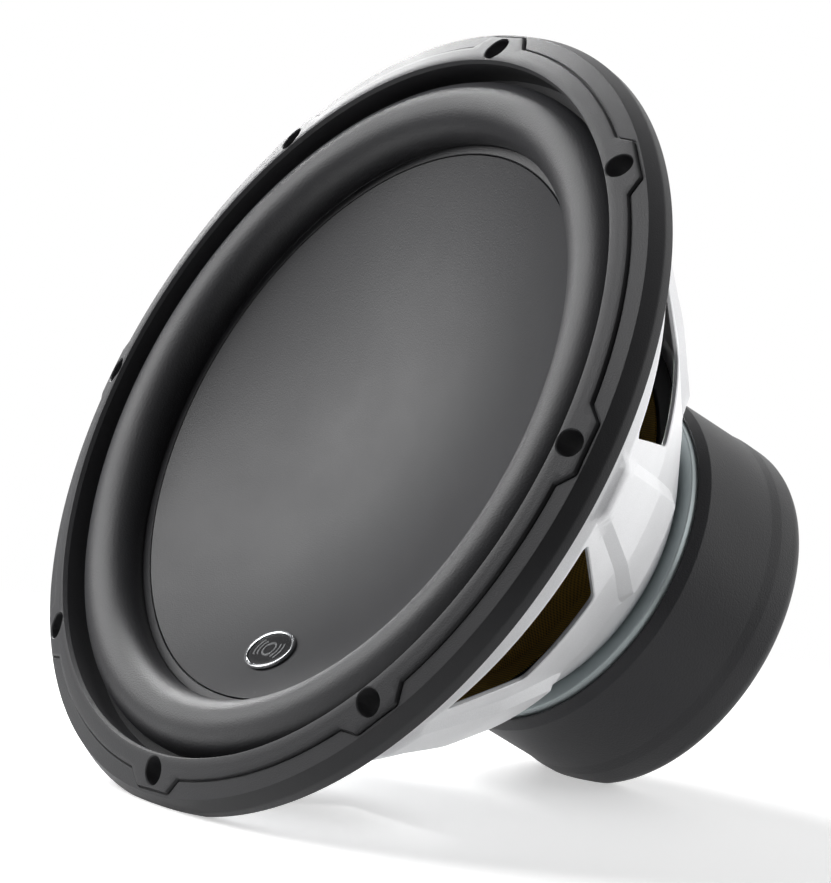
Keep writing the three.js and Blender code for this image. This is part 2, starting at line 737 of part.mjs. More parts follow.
function pushButton() {
  const length = HOUSING.depth + BUTTON.proud - buttonBase;
  const stem = box(BUTTON.width, BUTTON.height, length, 0, 0, buttonBase + length / 2);
  const dimple = new THREE.SphereGeometry(7, 20, 12).translate(0, 0, buttonBase + length + 6);
  return stem.subtract(solid(dimple));
}

function buttonSpring() {
  class Helix extends THREE.Curve {
    getPoint(t, target = new THREE.Vector3()) {
      const [x, y] = onCircle(SPRING.radius, 360 * SPRING.turns * t);
      return target.set(x, y, SPRING.length * t);
    }
  }
  const section = roundSection(SPRING.wire / 2, 5);
  const steps = 9 * SPRING.turns;
  const wire = new THREE.ExtrudeGeometry(section, { steps, extrudePath: new Helix() });
  return solid(wire).translate([0, 0, HOUSING.wall + SPRING.seat]);
}

function roundSection(radius, sides) {
  return new THREE.Shape(around(sides).map((angle) => new THREE.Vector2(...onCircle(radius, angle))));
}

// Slot in the spoke through which both contact tabs reach the inside.
function leadSlot() {
  const width = 2 * BUTTON.spread + TAB.width + 3;
  const slot = new THREE.BoxGeometry(width, TAB.thickness + 2.4, TAB.length - 1);
  return fromTerminal(slot.translate(0, tabHeight, -4));
}

function contactTab() {
  return box(TAB.width, TAB.thickness, TAB.length);
}

// A braided lead from its contact tab up over the spider to the former.
function tinselLead(side) {
  const behindTab = (depth) => {
    const point = new THREE.Vector3(side * BUTTON.spread, tabHeight, TAB.front - TAB.length - depth);
    return terminal.group.localToWorld(point);
  };
  const toFormer = (radius, spread, height) =>
    new THREE.Vector3(...onCircle(radius, terminalAngle + side * spread), height);
  const route = new THREE.CatmullRomCurve3([
    behindTab(GAP),
    behindTab(6),
    toFormer(64, 8, spiderHeight + 9.5),
    toFormer(50, 10, spiderHeight + 11),
    toFormer(38, 13, spiderHeight + 7),
    toFormer(collarRadius + LEAD_RADIUS + GAP, 15, spiderHeight + 5.6),
  ]);
  const section = roundSection(LEAD_RADIUS, LEAD_SIDES);
  return solid(new THREE.ExtrudeGeometry(section, { steps: 26, extrudePath: route }));
}

// ------------------------------------------------------------------- assembly
add("magnet_boot", magnetBoot(), BOOT_RUBBER);
add("pole_yoke", poleYoke(), STEEL);
add("magnet_ring_lower", magnetRing(lowerMagnetBase), FERRITE);
add("magnet_ring_upper", magnetRing(upperMagnetBase), FERRITE);
add("top_plate", topPlate(), ZINC_PLATE);
basketZones().forEach(([name, body]) => add(name, body, SILVER_PAINT));
around(PLATE_SCREW_COUNT).forEach((angle, i) => {
  add(`plate_screw_${i + 1}`, plateScrew(angle), STEEL);
});
add("trim_ring", trimRing(), RING_PLASTIC);
add("surround", surround(), SOFT_RUBBER);
add("cone_dish", coneDish(), CONE_PLASTIC);
add("cone_body", coneBody(), CONE_PLASTIC);
const coilBase = coilMiddle - COIL_LENGTH / 2;
add("coil_former", tube(FORMER_INNER_RADIUS, formerRadius, coilBase, neckHeight + 3), AMBER_FILM);
add("voice_coil", tube(coilInnerRadius, coilRadius, coilBase, coilBase + COIL_LENGTH), COPPER);
add("former_collar", formerCollar(), AMBER_FILM);
add("spider", spider(), SPIDER_CLOTH_COLOUR);
add("spider_ledge", spiderLedge(), BLACK_PLASTIC);

const badge = badgeGroup();
subwoofer.add(badge);
add("badge_rim", badgeRim(), BRIGHT_METAL, badge);
add("badge_field", badgePlate(BADGE_RIM + GAP, BADGE_THICKNESS * 0.7), BLACK_PLASTIC, badge);

subwoofer.add(terminal.turn);
add("terminal_housing", terminalHousing(), BLACK_PLASTIC, terminal.group);
const terminalSides = [
  { side: -1, hand: "left", pole: "positive", look: RED_PLASTIC },
  { side: 1, hand: "right", pole: "negative", look: BLACK_PLASTIC },
];
for (const { side, hand, pole, look } of terminalSides) {
  const x = side * BUTTON.spread;
  const screw = add(`terminal_screw_${hand}`, terminalScrew(), STEEL, terminal.group);
  screw.position.set(side * terminalScrewX, terminalScrewY, 0);
  const button = add(`push_button_${pole}`, pushButton(), look, terminal.group);
  button.position.set(x, BUTTON.rise, 0);
  const spring = add(`button_spring_${pole}`, buttonSpring(), STEEL, terminal.group);
  spring.position.set(x, BUTTON.rise, 0);
  const tab = add(`contact_tab_${pole}`, contactTab(), BRIGHT_METAL, terminal.group);
  tab.position.set(x, tabHeight, TAB.front - TAB.length / 2);
  add(`tinsel_lead_${pole}`, tinselLead(side), BRAID);
}

export default subwoofer;
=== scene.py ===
"""Twelve-inch class car subwoofer driver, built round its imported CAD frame.

Lengths inside the mesh code are millimetres and become metres when a piece is made. The driver's axis
is Z: the cone faces +Z and the rubber boot's flat back lies on Z = 0.
"""

import math

import bmesh
import bpy
import numpy as np
from bpy.props import FloatProperty, FloatVectorProperty, PointerProperty
from mathutils import Matrix, Vector
from mathutils.geometry import delaunay_2d_cdt


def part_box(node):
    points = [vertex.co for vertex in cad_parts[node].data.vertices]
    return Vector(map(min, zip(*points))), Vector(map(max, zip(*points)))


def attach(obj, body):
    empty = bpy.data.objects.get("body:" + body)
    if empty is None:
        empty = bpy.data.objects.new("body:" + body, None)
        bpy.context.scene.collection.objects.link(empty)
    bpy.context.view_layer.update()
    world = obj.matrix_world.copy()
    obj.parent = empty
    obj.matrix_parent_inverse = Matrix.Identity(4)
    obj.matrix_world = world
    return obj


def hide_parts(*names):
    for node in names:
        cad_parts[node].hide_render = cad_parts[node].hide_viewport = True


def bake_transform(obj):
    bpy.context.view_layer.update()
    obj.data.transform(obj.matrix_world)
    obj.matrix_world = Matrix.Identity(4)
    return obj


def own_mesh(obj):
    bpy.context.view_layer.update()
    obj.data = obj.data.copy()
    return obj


bl_info = {
    "name": "Car Subwoofer",
    "version": (1, 0, 0),
    "blender": (4, 5, 0),
    "location": "View3D > Sidebar > Subwoofer",
    "description": "Builds the pieces, finishes and studio of a car subwoofer driver",
    "category": "Object",
}

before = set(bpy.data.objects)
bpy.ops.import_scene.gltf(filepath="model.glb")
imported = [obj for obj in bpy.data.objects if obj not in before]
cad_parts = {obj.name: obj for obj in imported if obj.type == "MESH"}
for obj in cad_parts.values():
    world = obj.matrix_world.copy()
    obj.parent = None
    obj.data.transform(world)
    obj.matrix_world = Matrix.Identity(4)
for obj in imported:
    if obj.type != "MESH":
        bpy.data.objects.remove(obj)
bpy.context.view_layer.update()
MM = 0.001


def span(node):
    """Lowest and highest corner of a CAD node, in millimetres."""
    low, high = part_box(node)
    return Vector(low) / MM, Vector(high) / MM


# ------------------------------------------------------------------ driving sizes, in millimetres
RING_LOW, RING_HIGH = span("trim_ring")
FLANGE_HIGH = span("basket_flange")[1]
BOOT_HIGH = span("magnet_boot")[1]
PLATE_LOW, PLATE_HIGH = span("top_plate")
SURROUND_HIGH = span("surround")[1]
DISH_HIGH = span("cone_dish")[1]
REAR_LOW, REAR_HIGH = span("cone_body")
SPIDER_LOW, SPIDER_HIGH = span("spider")
LEDGE_LOW, LEDGE_HIGH = span("spider_ledge")
FORMER_LOW, FORMER_HIGH = span("coil_former")
COIL_LOW, COIL_HIGH = span("voice_coil")
COLLAR_LOW, COLLAR_HIGH = span("former_collar")
GAP = 0.3  # between pieces that rest on each other

RING_RADIUS = RING_HIGH.x
LIP_TOP = RING_HIGH.z
LIP_RADIUS = 142.4
LIP_WIDTH = 2.2
BAND_RADIUS = 150.3
BAND_BEVEL = 0.7
FACE_SLOPE = 0.36
BAND_EDGE = LIP_TOP - FACE_SLOPE * (BAND_RADIUS - LIP_RADIUS - LIP_WIDTH)
STEP_DEPTH = 1.0
OUTER_SLOPE = 0.38
FACE_START, FACE_RIM = 143.4, 156.7
UNDERSIDE_RIM = 158.6
SHOULDER_RADIUS = 157.0
SIDE_HEIGHT = 4.2  # straight part of the ring's side
TAB_REACH = 155.2
TAB_ROOT = 15.4
TAB_TIP = 9.7
BOLT_CIRCLE = 149.0
BOLT_COUNT = 8
RING_HOLE = 5.0
FLANGE_HOLE = 4.1
AROUND = 336  # facets round the ring and the basket: 7 x 48 and 8 x 42

SHEET = 2.0
FLANGE_RADIUS = FLANGE_HIGH.x
FLANGE_BASE = FLANGE_HIGH.z - SHEET
FLANGE_START = 142.5
SPOKES = 7
BASKET_NODES = ["basket_foot", "basket_shell", "basket_wall", "basket_flange"]
BASKET_NODES += [f"basket_spoke_{k + 1}" for k in range(SPOKES)]
FIRST_SPOKE = -91.0
WALL = [(36, 59.8), (62, 59.8), (88.5, 86), (111, 112), (136.5, 147), (139.8, 164.2), (140.6, 165.4)]
WALL_ROUNDING = [0, 5, 5, 5, 4, 2, 1.2]
WINDOW_FOOT, WINDOW_TOP = 113.4, 145.6
WINDOW_FOOT_HALF, WINDOW_TOP_HALF = 19.5, 39.5
PAD_FOOT, PAD_TOP = 84.5, 150.0
PAD_FOOT_HALF, PAD_TOP_HALF = 22.0, 12.5
PAD_SIDE = 4.6
PLATE_SCREWS = 6

BOOT_HOLE = 14.0
BOOT_BASE = 3.0
ROLL_RADIUS = 11.7
ROLL_CENTRE = (127.4, SURROUND_HIGH.z - ROLL_RADIUS)
ROLL_START = 201.5  # degrees round the roll's section where it meets the cone
RUBBER = 1.5
CONE_EDGE = 112.3
CONE_WALL = 2.4
REAR_WALL = 2.0
DISH_DEPTH = 26.7
SPIDER_PLANE = (SPIDER_LOW.z + SPIDER_HIGH.z) / 2
SPIDER_WAVES = 3
SPIDER_SWING = 3.4
CLOTH_HALF = 0.45
LEDGE_INNER = 74.5

BADGE_CENTRE = 90.0
BADGE_HALF = (9.4, 12.5)
BADGE_LIFT = 0.9

TERMINAL_ANGLE = FIRST_SPOKE + 4 * 360 / SPOKES
BUTTON_SPREAD = 9.2
BUTTON_RISE = 2.4
TAB_HEIGHT = -7.8
SPRING_SEAT = 2.8
SPRING_LENGTH = 3.6
SPRING_RADIUS = 2.6
SPRING_WIRE = 0.3
SPRING_TURNS = 4
LEAD_RADIUS = 1.1

# The main view and the paper: places in millimetres, angles in degrees
AIM = (10.41, 20.28, 125.89)
AZIMUTH, ELEVATION, ROLL = -12.955, 33.109, 57.622
DISTANCE = 1825.47
LENS = 197.505
FLOOR_UP = (0.8845, -0.0309, 0.466)
FLOOR_POINT = (-159.6, 5.6, 174.0)
FLOOR_HALF = 3.0  # metres
PAPER_FADE = (0.28, 0.5)  # metres from its middle, over which the paper fades into the white


# ------------------------------------------------------------------ outlines
def arc(centre, radius, start, end, steps):
    """Points of a round stretch, in degrees from +X towards +Y."""
    angles = np.radians(np.linspace(start, end, steps + 1))
    return [(centre[0] + radius * math.cos(a), centre[1] + radius * math.sin(a)) for a in angles]


def rounded(points, radii, closed=True, steps=5):
    """The outline with a fillet of its own radius on each corner; 0 leaves the corner sharp."""
    if isinstance(radii, (int, float)):
        radii = [radii] * len(points)
    made = []
    count = len(points)
    for i, (point, radius) in enumerate(zip(points, radii)):
        here = Vector(point)
        if radius == 0 or (not closed and i in (0, count - 1)):
            made.append(tuple(here))
            continue
        before = Vector(points[i - 1]) - here
        after = Vector(points[(i + 1) % count]) - here
        half = before.angle(after) / 2
        if abs(half - math.pi / 2) < 1e-3:
            made.append(tuple(here))
            continue
        reach = min(radius / math.tan(half), 0.45 * before.length, 0.45 * after.length)
        fillet = reach * math.tan(half)
        centre = here + (before.normalized() + after.normalized()).normalized() * (fillet / math.sin(half))
        first = here + before.normalized() * reach - centre
        last = here + after.normalized() * reach - centre
        turn = math.atan2(first.x * last.y - first.y * last.x, first.dot(last))
        for k in range(steps + 1):
            made.append(tuple(centre + Matrix.Rotation(turn * k / steps, 2) @ first))
    return made


def shifted(points, distance):
    """An open outline moved sideways, to the right of its direction."""
    path = np.array(points, float)
    ahead = np.diff(path, axis=0)
    ahead /= np.linalg.norm(ahead, axis=1)[:, None]
    right = np.stack([ahead[:, 1], -ahead[:, 0]], 1)
    before = np.vstack([right[:1], right])
    after = np.vstack([right, right[-1:]])
    scale = distance / (1 + (before * after).sum(1))
    return [tuple(p) for p in path + (before + after) * scale[:, None]]


def inside(outline, points):
    """Which of the points lie inside a closed outline."""
    ring = np.array(outline, float)
    x, y = np.array(points, float).T
    found = np.zeros(len(x), bool)
    for (ax, ay), (bx, by) in zip(ring, np.roll(ring, -1, 0)):
        crosses = (ay > y) != (by > y)
        with np.errstate(divide="ignore", invalid="ignore"):
            found ^= crosses & (x < (bx - ax) * (y - ay) / (by - ay) + ax)
    return found


# ------------------------------------------------------------------ surfaces
class Surface:
    """Vertices in millimetres and faces, gathered from several patches."""

    def __init__(self):
        self.vertices = []
        self.faces = []

    def add(self, vertices, faces):
        first = len(self.vertices)
        self.vertices += [tuple(v) for v in vertices]
        self.faces += [tuple(first + i for i in f) for f in faces]
        return self

    def turn(self, outline, segments, closed=True):
        """A surface of revolution about Z from (radius, height) points."""
        count = len(outline)
        angles = np.linspace(0, 2 * math.pi, segments, endpoint=False)
        rows = [(r * math.cos(a), r * math.sin(a), z) for a in angles for r, z in outline]
        edges = count if closed else count - 1
        faces = []
        for s in range(segments):
            a, b = s * count, ((s + 1) % segments) * count
            faces += [(a + i, b + i, b + (i + 1) % count, a + (i + 1) % count) for i in range(edges)]
        return self.add(rows, faces)

    def loft(self, rings, closed=True):
        """Quads between rings of equal counts of points."""
        count = len(rings[0])
        edges = count if closed else count - 1
        points = [p for ring in rings for p in ring]
        faces = []
        for k in range(len(rings) - 1):
            a, b = k * count, (k + 1) * count
            faces += [(a + i, a + (i + 1) % count, b + (i + 1) % count, b + i) for i in range(edges)]
        return self.add(points, faces)

    def cap(self, ring):
        return self.add(ring, [tuple(range(len(ring)))])

    def placed(self, matrix):
        self.vertices = [tuple(matrix @ Vector(v)) for v in self.vertices]
        return self


def triangles(points, loops, drop):
    """Triangles over points and closed or open loops of indices, without the faces that `drop` picks."""
    sliver = 1e-4  # twice the area, in square millimetres, of a triangle that is only a rounding error
    edges = [pair for loop in loops for pair in zip(loop, loop[1:])]
    flat = [Vector(p) for p in points]
    made, _, faces, origin, _, _ = delaunay_2d_cdt(flat, edges, [], 0, 1e-5)
    corners = np.array([tuple(v) for v in made])
    faces = np.array([f for f in faces if len(f) == 3])
    a, b, c = (corners[faces[:, k]] for k in range(3))
    across = np.abs((b - a)[:, 0] * (c - a)[:, 1] - (b - a)[:, 1] * (c - a)[:, 0])
    return corners, faces[(across > sliver) & ~drop((a + b + c) / 3)], origin


def polar(radius, degrees):
    return radius * math.cos(math.radians(degrees)), radius * math.sin(math.radians(degrees))


def sectors(surface, vertices, faces, count, first=0.0):
    """The same patch repeated round the axis."""
    x, y, z = np.array(vertices, float).T
    for k in range(count):
        angle = math.radians(first + 360 * k / count)
        c, s = math.cos(angle), math.sin(angle)
        surface.add(np.stack([c * x - s * y, s * x + c * y, z], 1), faces)
    return surface


def make(name, surface, finish, replaces=(), body="frame", sharp=32.0):
    """A piece in metres: welded, facing out, smooth but for edges sharper than `sharp` degrees."""
    mesh = bpy.data.meshes.new(name)
    mesh.from_pydata([(x * MM, y * MM, z * MM) for x, y, z in surface.vertices], [], surface.faces)
    work = bmesh.new()
    work.from_mesh(mesh)
    bmesh.ops.remove_doubles(work, verts=work.verts, dist=4e-6)
    bmesh.ops.dissolve_degenerate(work, dist=1e-6, edges=work.edges)
    bmesh.ops.recalc_face_normals(work, faces=work.faces)
    work.to_mesh(mesh)
    work.free()
    mesh.shade_smooth()
    mesh.set_sharp_from_angle(angle=math.radians(sharp))
    mesh.materials.append(finish)
    piece = bpy.data.objects.new(name, mesh)
    bpy.context.scene.collection.objects.link(piece)
    if replaces:
        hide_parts(*replaces)
    if body:
        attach(piece, body)
    return piece


def stretch(piece, fixed_radius, moving_radius):
    """Lays a round soft piece out by radius, then puts its vertices back as they were."""
    mesh = piece.data
    placed = np.zeros(len(mesh.vertices) * 3, np.float32)
    mesh.vertices.foreach_get("co", placed)
    laid = placed.reshape(-1, 3).copy()
    laid[:, 0] = np.hypot(laid[:, 0], laid[:, 1])
    laid[:, 1:] = 0
    mesh.vertices.foreach_set("co", laid.ravel())
    fixed_radius * MM
    moving_radius * MM
    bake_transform(piece)
    mesh.vertices.foreach_set("co", placed)
    mesh.update()
    return piece


def dress(node, finish):
    """A CAD node that is shown as it is, with its own finish."""
    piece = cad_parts[node]
    piece.data.materials.clear()
    piece.data.materials.append(finish)
    piece.data.shade_smooth()
    piece.data.set_sharp_from_angle(angle=math.radians(28))


# ------------------------------------------------------------------ finishes
class Value:
    """An output socket that takes part in arithmetic."""

    def __init__(self, tree, socket):
        self.tree = tree
        self.socket = socket

    def _math(self, operation, first, second):
        node = self.tree.nodes.new("ShaderNodeMath")
        node.operation = operation
        for socket, given in zip(node.inputs, (first, second)):
            if isinstance(given, Value):
                self.tree.links.new(given.socket, socket)
            else:
                socket.default_value = given
        return Value(self.tree, node.outputs[0])

    def __add__(self, other):
        return self._math("ADD", self, other)

    def __radd__(self, other):
        return self._math("ADD", other, self)

    def __sub__(self, other):
        return self._math("SUBTRACT", self, other)

    def __rsub__(self, other):
        return self._math("SUBTRACT", other, self)

    def __mul__(self, other):
        return self._math("MULTIPLY", self, other)

    def __rmul__(self, other):
        return self._math("MULTIPLY", other, self)

    def __pow__(self, other):
        return self._math("POWER", self, other)


class Finish:
    """One procedural material, drawn in the piece's own place in metres."""

    def __init__(self, name, color, roughness, metallic=0.0, **fixed):
        self.material = bpy.data.materials.new(name)
        self.material.use_nodes = True
        self.tree = self.material.node_tree
        self.shader = self.tree.nodes["Principled BSDF"]
        self.place = self.node("ShaderNodeTexCoord", out="Object")
        self.set(Base_Color=(*color, 1), Roughness=roughness, Metallic=metallic, **fixed)

    def node(self, kind, settings=None, out=0, inputs=None):
        """Any node: settings first, then the values or links of its sockets."""
        node = self.tree.nodes.new(kind)
        for name, value in (settings or {}).items():
            if name == "stops":
                for stop, (position, color) in zip(self._stops(node, len(value)), value):
                    stop.position = position
                    stop.color = color
            else:
                setattr(node, name, value)
        for name, value in (inputs or {}).items():
            self._fill(node.inputs[name], value)
        return Value(self.tree, node.outputs[out])

    @staticmethod
    def _stops(node, count):
        elements = node.color_ramp.elements
        while len(elements) < count:
            elements.new(0.5)
        return list(elements)

    def _fill(self, socket, value):
        if isinstance(value, Value):
            self.tree.links.new(value.socket, socket)
        else:
            socket.default_value = value

    def set(self, **sockets):
        for name, value in sockets.items():
            self._fill(self.shader.inputs[name.replace("_", " ")], value)
        return self

    def noise(self, scale, detail=2.0, roughness=0.5, vector=None):
        inputs = {"Vector": vector or self.place, "Scale": scale, "Detail": detail, "Roughness": roughness}
        return self.node("ShaderNodeTexNoise", {}, 0, inputs)

    def mix(self, factor, first, second):
        """Colour between two colours."""
        settings = {"data_type": "RGBA", "clamp_factor": True}
        node = self.node("ShaderNodeMix", settings, 2)
        sockets = node.socket.node.inputs
        for index, value in ((0, factor), (6, first), (7, second)):
            self._fill(sockets[index], value if isinstance(value, Value) or index == 0 else (*value, 1))
        return node

    def ramp(self, factor, low, high):
        """0 below low, 1 above high."""
        inputs = {"Value": factor, "From Min": low, "From Max": high}
        return self.node("ShaderNodeMapRange", {"clamp": True}, 0, inputs)

    def bump(self, height, strength, distance, normal=None):
        inputs = {"Height": height, "Strength": strength, "Distance": distance}
        if normal:
            inputs["Normal"] = normal
        return self.node("ShaderNodeBump", {}, 0, inputs)

    def split(self):
        """X, Y and Z of the place."""
        node = self.node("ShaderNodeSeparateXYZ", {}, 0, {"Vector": self.place})
        outputs = node.socket.node.outputs
        return [Value(self.tree, outputs[i]) for i in range(3)]

    def join(self, x, y, z):
        return self.node("ShaderNodeCombineXYZ", {}, 0, {"X": x, "Y": y, "Z": z})

    def radius(self):
        x, y, _ = self.split()
        return (x * x + y * y) ** 0.5

    def sine(self, value):
        return self.node("ShaderNodeMath", {"operation": "SINE"}, 0, {0: value})


def shade(color, factor):
    return tuple(min(1.0, c * factor) for c in color)


def moulded(name, color, roughness, grain, depth, mottle=0.12, **fixed):
    """Moulded plastic or rubber: a fine stipple, cloudy sheen and slightly uneven colour."""
    finish = Finish(name, color, roughness, **fixed)
    cloud = finish.noise(28, 3, 0.6)
    stipple = finish.noise(1000 / grain, 2, 0.55)
    patch = finish.ramp(cloud, 0.32, 0.68)
    finish.set(
        Base_Color=finish.mix(patch, shade(color, 1 - mottle), shade(color, 1 + mottle)),
        Roughness=roughness - 0.04 + 0.05 * patch + 0.06 * stipple,
        Normal=finish.bump(stipple, 0.55, depth * MM),
    )
    return finish.material


def painted(name, color):
    """Silver paint with metal flake, a little orange peel and greyer patches."""
    finish = Finish(name, color, 0.4, 0.4, Coat_Weight=0.25, Coat_Roughness=0.28)
    peel = finish.noise(420, 2, 0.5)
    flake = finish.noise(2600, 1, 0.7)
    cloud = finish.ramp(finish.noise(22, 3, 0.55), 0.35, 0.7)
    patch = finish.ramp(flake, 0.4, 0.68) * 0.5 + 0.5 * cloud
    finish.set(
        Base_Color=finish.mix(patch, shade(color, 0.9), shade(color, 1.07)),
        Roughness=0.36 + 0.12 * flake + 0.05 * cloud,
        Normal=finish.bump(flake, 0.3, 0.05 * MM, finish.bump(peel, 0.25, 0.12 * MM)),
    )
    return finish.material


def turned_metal(name, color, roughness, pitch=0.35, tint=None, metallic=1.0):
    """Plated steel with fine turning marks round the axis and cloudy plating."""
    finish = Finish(name, color, roughness, metallic)
    radius = finish.radius()
    _, _, height = finish.split()
    marks = finish.noise(1.0, 2, 0.6, finish.join(radius * (1000 / pitch), height * (1000 / pitch), 0.0))
    cloud = finish.ramp(finish.noise(34, 3, 0.6), 0.35, 0.68)
    finish.set(
        Base_Color=finish.mix(cloud, shade(color, 0.86), tint or shade(color, 1.1)),
        Roughness=roughness - 0.05 + 0.1 * marks + 0.08 * cloud,
        Normal=finish.bump(marks, 0.25, 0.04 * MM),
    )
    return finish.material


def woven(name, color, pitch):
    """Resin-treated plain weave, with its threads along the diagonals of X and Y."""
    finish = Finish(name, color, 0.72, 0.0)
    x, y, _ = finish.split()
    wave = 2 * math.pi * 1000 / pitch
    diagonal = wave * 0.7071
    warp = finish.sine((x + y) * diagonal)
    weft = finish.sine((x - y) * diagonal)
    weave = warp * weft * 0.5 + 0.5
    fibre = finish.noise(900, 3, 0.6)
    soak = finish.ramp(finish.noise(45, 3, 0.6), 0.3, 0.7)
    lit = finish.mix(finish.ramp(weave + 0.3 * fibre, 0.2, 0.95), shade(color, 0.3), shade(color, 1.35))
    finish.set(
        Base_Color=finish.mix(soak * 0.45, lit, shade(color, 0.7)),
        Roughness=0.62 + 0.25 * fibre,
        Normal=finish.bump(weave + 0.2 * fibre, 0.8, 0.18 * MM),
    )
    return finish.material


def braided(name, color, pitch):
    """Metal braid or fine winding: tight ridges over the run of the piece, with painted shade in the grooves.
    """
    finish = Finish(name, color, 0.38, 0.85)
    x, y, z = finish.split()
    wave = 2 * math.pi * 1000 / pitch
    ridge = finish.sine((x + y + z) * wave) * finish.sine((x - y + z) * wave) * 0.5 + 0.5
    # Painted shade: the base colour is darker in the grooves between the ridges than on the ridges.
    finish.set(
        Base_Color=finish.mix(ridge, shade(color, 0.45), shade(color, 1.1)),
        Roughness=0.32 + 0.2 * finish.noise(800, 2),
        Normal=finish.bump(ridge, 0.6, 0.1 * MM),
    )
    return finish.material


def wound(name, color, pitch):
    """Enamelled wire laid turn over turn along the axis, with painted shade between the turns."""
    finish = Finish(name, color, 0.3, 0.85, Coat_Weight=0.5, Coat_Roughness=0.15)
    _, _, height = finish.split()
    turns = finish.sine(height * (2 * math.pi * 1000 / pitch)) * 0.5 + 0.5
    # Painted shade: the base colour is darker between the turns and lighter on their crowns.
    finish.set(
        Base_Color=finish.mix(turns, shade(color, 0.5), shade(color, 1.15)),
        Roughness=0.26 + 0.12 * finish.noise(500, 2),
        Normal=finish.bump(turns, 0.7, 0.12 * MM),
    )
    return finish.material


# ------------------------------------------------------------------ what a user would change
def colour(name, description, default):
    return FloatVectorProperty(
        name=name, description=description, subtype="COLOR", size=3, min=0.0, max=1.0, default=default
    )


class SubwooferSizes(bpy.types.PropertyGroup):
    """Sizes of the visible detail, in metres."""

    groove_width: FloatProperty(
        name="Groove Width", description="Gap between the ring's band and its outer face",
        default=0.0006, min=0.0002, max=0.002, unit="LENGTH",
    )
    groove_depth: FloatProperty(
        name="Groove Depth", description="Depth of that gap below the outer face",
        default=0.0009, min=0.0, max=0.002, unit="LENGTH",
    )
    pad_rise: FloatProperty(
        name="Pad Rise", description="How far a spoke's pressed pad stands proud at its foot",
        default=0.0034, min=0.0005, max=0.004, unit="LENGTH",
    )
    rubber_grain: FloatProperty(
        name="Rubber Grain", description="Size of the stipple on the surround and boot",
        default=0.0007, min=0.0002, max=0.003, unit="LENGTH",
    )
    weave_pitch: FloatProperty(
        name="Weave Pitch", description="Distance between threads of the spider's cloth",
        default=0.0012, min=0.0004, max=0.004, unit="LENGTH",
    )


class SubwooferColours(bpy.types.PropertyGroup):
    """Colours of the visible finishes."""

    ring: colour("Ring", "Trim ring plastic", (0.041, 0.041, 0.044))
    surround: colour("Surround", "Half-roll rubber", (0.028, 0.028, 0.031))
    cone: colour("Cone", "Cone plastic", (0.028, 0.028, 0.031))
    boot: colour("Boot", "Magnet boot rubber", (0.018, 0.018, 0.021))
    basket: colour("Basket", "Silver paint", (0.82, 0.825, 0.84))
    plate: colour("Plate", "Zinc plating", (0.56, 0.63, 0.64))
    spider: colour("Spider", "Treated cloth", (0.46, 0.27, 0.03))


def sizes():
    return bpy.context.scene.subwoofer_sizes


def colours():
    return bpy.context.scene.subwoofer_colours


finishes = {}


def look(name):
    """A finish by its own name; all are made when the first is asked for."""
    if not finishes:
        make_finishes()
    return finishes[name]


def make_finishes():
    paint, size = colours(), sizes()
    grain = size.rubber_grain / MM
    finishes.update(
        ring=moulded("ring_plastic", paint.ring, 0.52, 0.6, 0.2, 0.08, Specular_IOR_Level=0.33),
        surround=moulded("surround_rubber", paint.surround, 0.46, grain, 0.25, 0.06),
        cone=moulded("cone_plastic", paint.cone, 0.45, 0.6, 0.12, 0.05, Specular_IOR_Level=0.45),
        boot=moulded("boot_rubber", paint.boot, 0.55, grain, 0.3, 0.1),
        basket=painted("silver_paint", paint.basket),
        plate=turned_metal("zinc_plate", paint.plate, 0.38, tint=(0.5, 0.56, 0.57), metallic=0.45),
        steel=turned_metal("plated_steel", (0.52, 0.53, 0.55), 0.3, 0.5),
        ferrite=moulded("ferrite", (0.05, 0.05, 0.055), 0.7, 1.2, 0.2, 0.2),
        spider=woven("spider_cloth", paint.spider, size.weave_pitch / MM),
        film=moulded("former_film", (0.33, 0.17, 0.04), 0.3, 0.9, 0.03, 0.1, Coat_Weight=0.4),
        winding=wound("copper_wire", (0.6, 0.25, 0.1), 0.45),
        black=moulded("black_plastic", (0.02, 0.02, 0.022), 0.42, 0.5, 0.05, 0.1),
        red=moulded("red_plastic", (0.42, 0.018, 0.014), 0.38, 0.5, 0.05, 0.08),
        chrome=turned_metal("badge_chrome", (0.78, 0.79, 0.81), 0.2, 0.8),
        gloss=moulded("badge_gloss", (0.018, 0.018, 0.02), 0.22, 0.4, 0.01, 0.1, Coat_Weight=0.6),
        tinned=turned_metal("contact_metal", (0.68, 0.62, 0.46), 0.28, 0.4),
        braid=braided("lead_braid", (0.62, 0.58, 0.5), 0.8),
    )


# ------------------------------------------------------------------ motor
def build_motor():
    radius, top = BOOT_HIGH.x, BOOT_HIGH.z
    inner = PLATE_HIGH.x + GAP
    boot = rounded(
        [
            (BOOT_HOLE, 0), (radius - 0.2, 0), (radius, 14), (radius - 0.5, 19), (radius - 0.7, top - 4.2),
            (inner + 1.0, top), (inner, top), (inner, 9), (inner - 6, BOOT_BASE), (BOOT_HOLE, BOOT_BASE),
        ],
        [1.2, 9.5, 4, 4, 1.4, 0.5, 0.3, 0.5, 0.5, 0.6],
        steps=8,
    )
    make("rubber_boot", Surface().turn(boot, 256), look("boot"), ["magnet_boot"])
    bore = COIL_HIGH.x + 1
    low, high, rim = PLATE_LOW.z, PLATE_HIGH.z, PLATE_HIGH.x
    plate = rounded([(bore, low), (rim, low), (rim, high), (bore, high)], [0.4, 0.8, 0.7, 0.4])
    make("front_plate", Surface().turn(plate, 256), look("plate"), ["top_plate"])
    dress("pole_yoke", look("steel"))
    dress("magnet_ring_lower", look("ferrite"))
    dress("magnet_ring_upper", look("ferrite"))


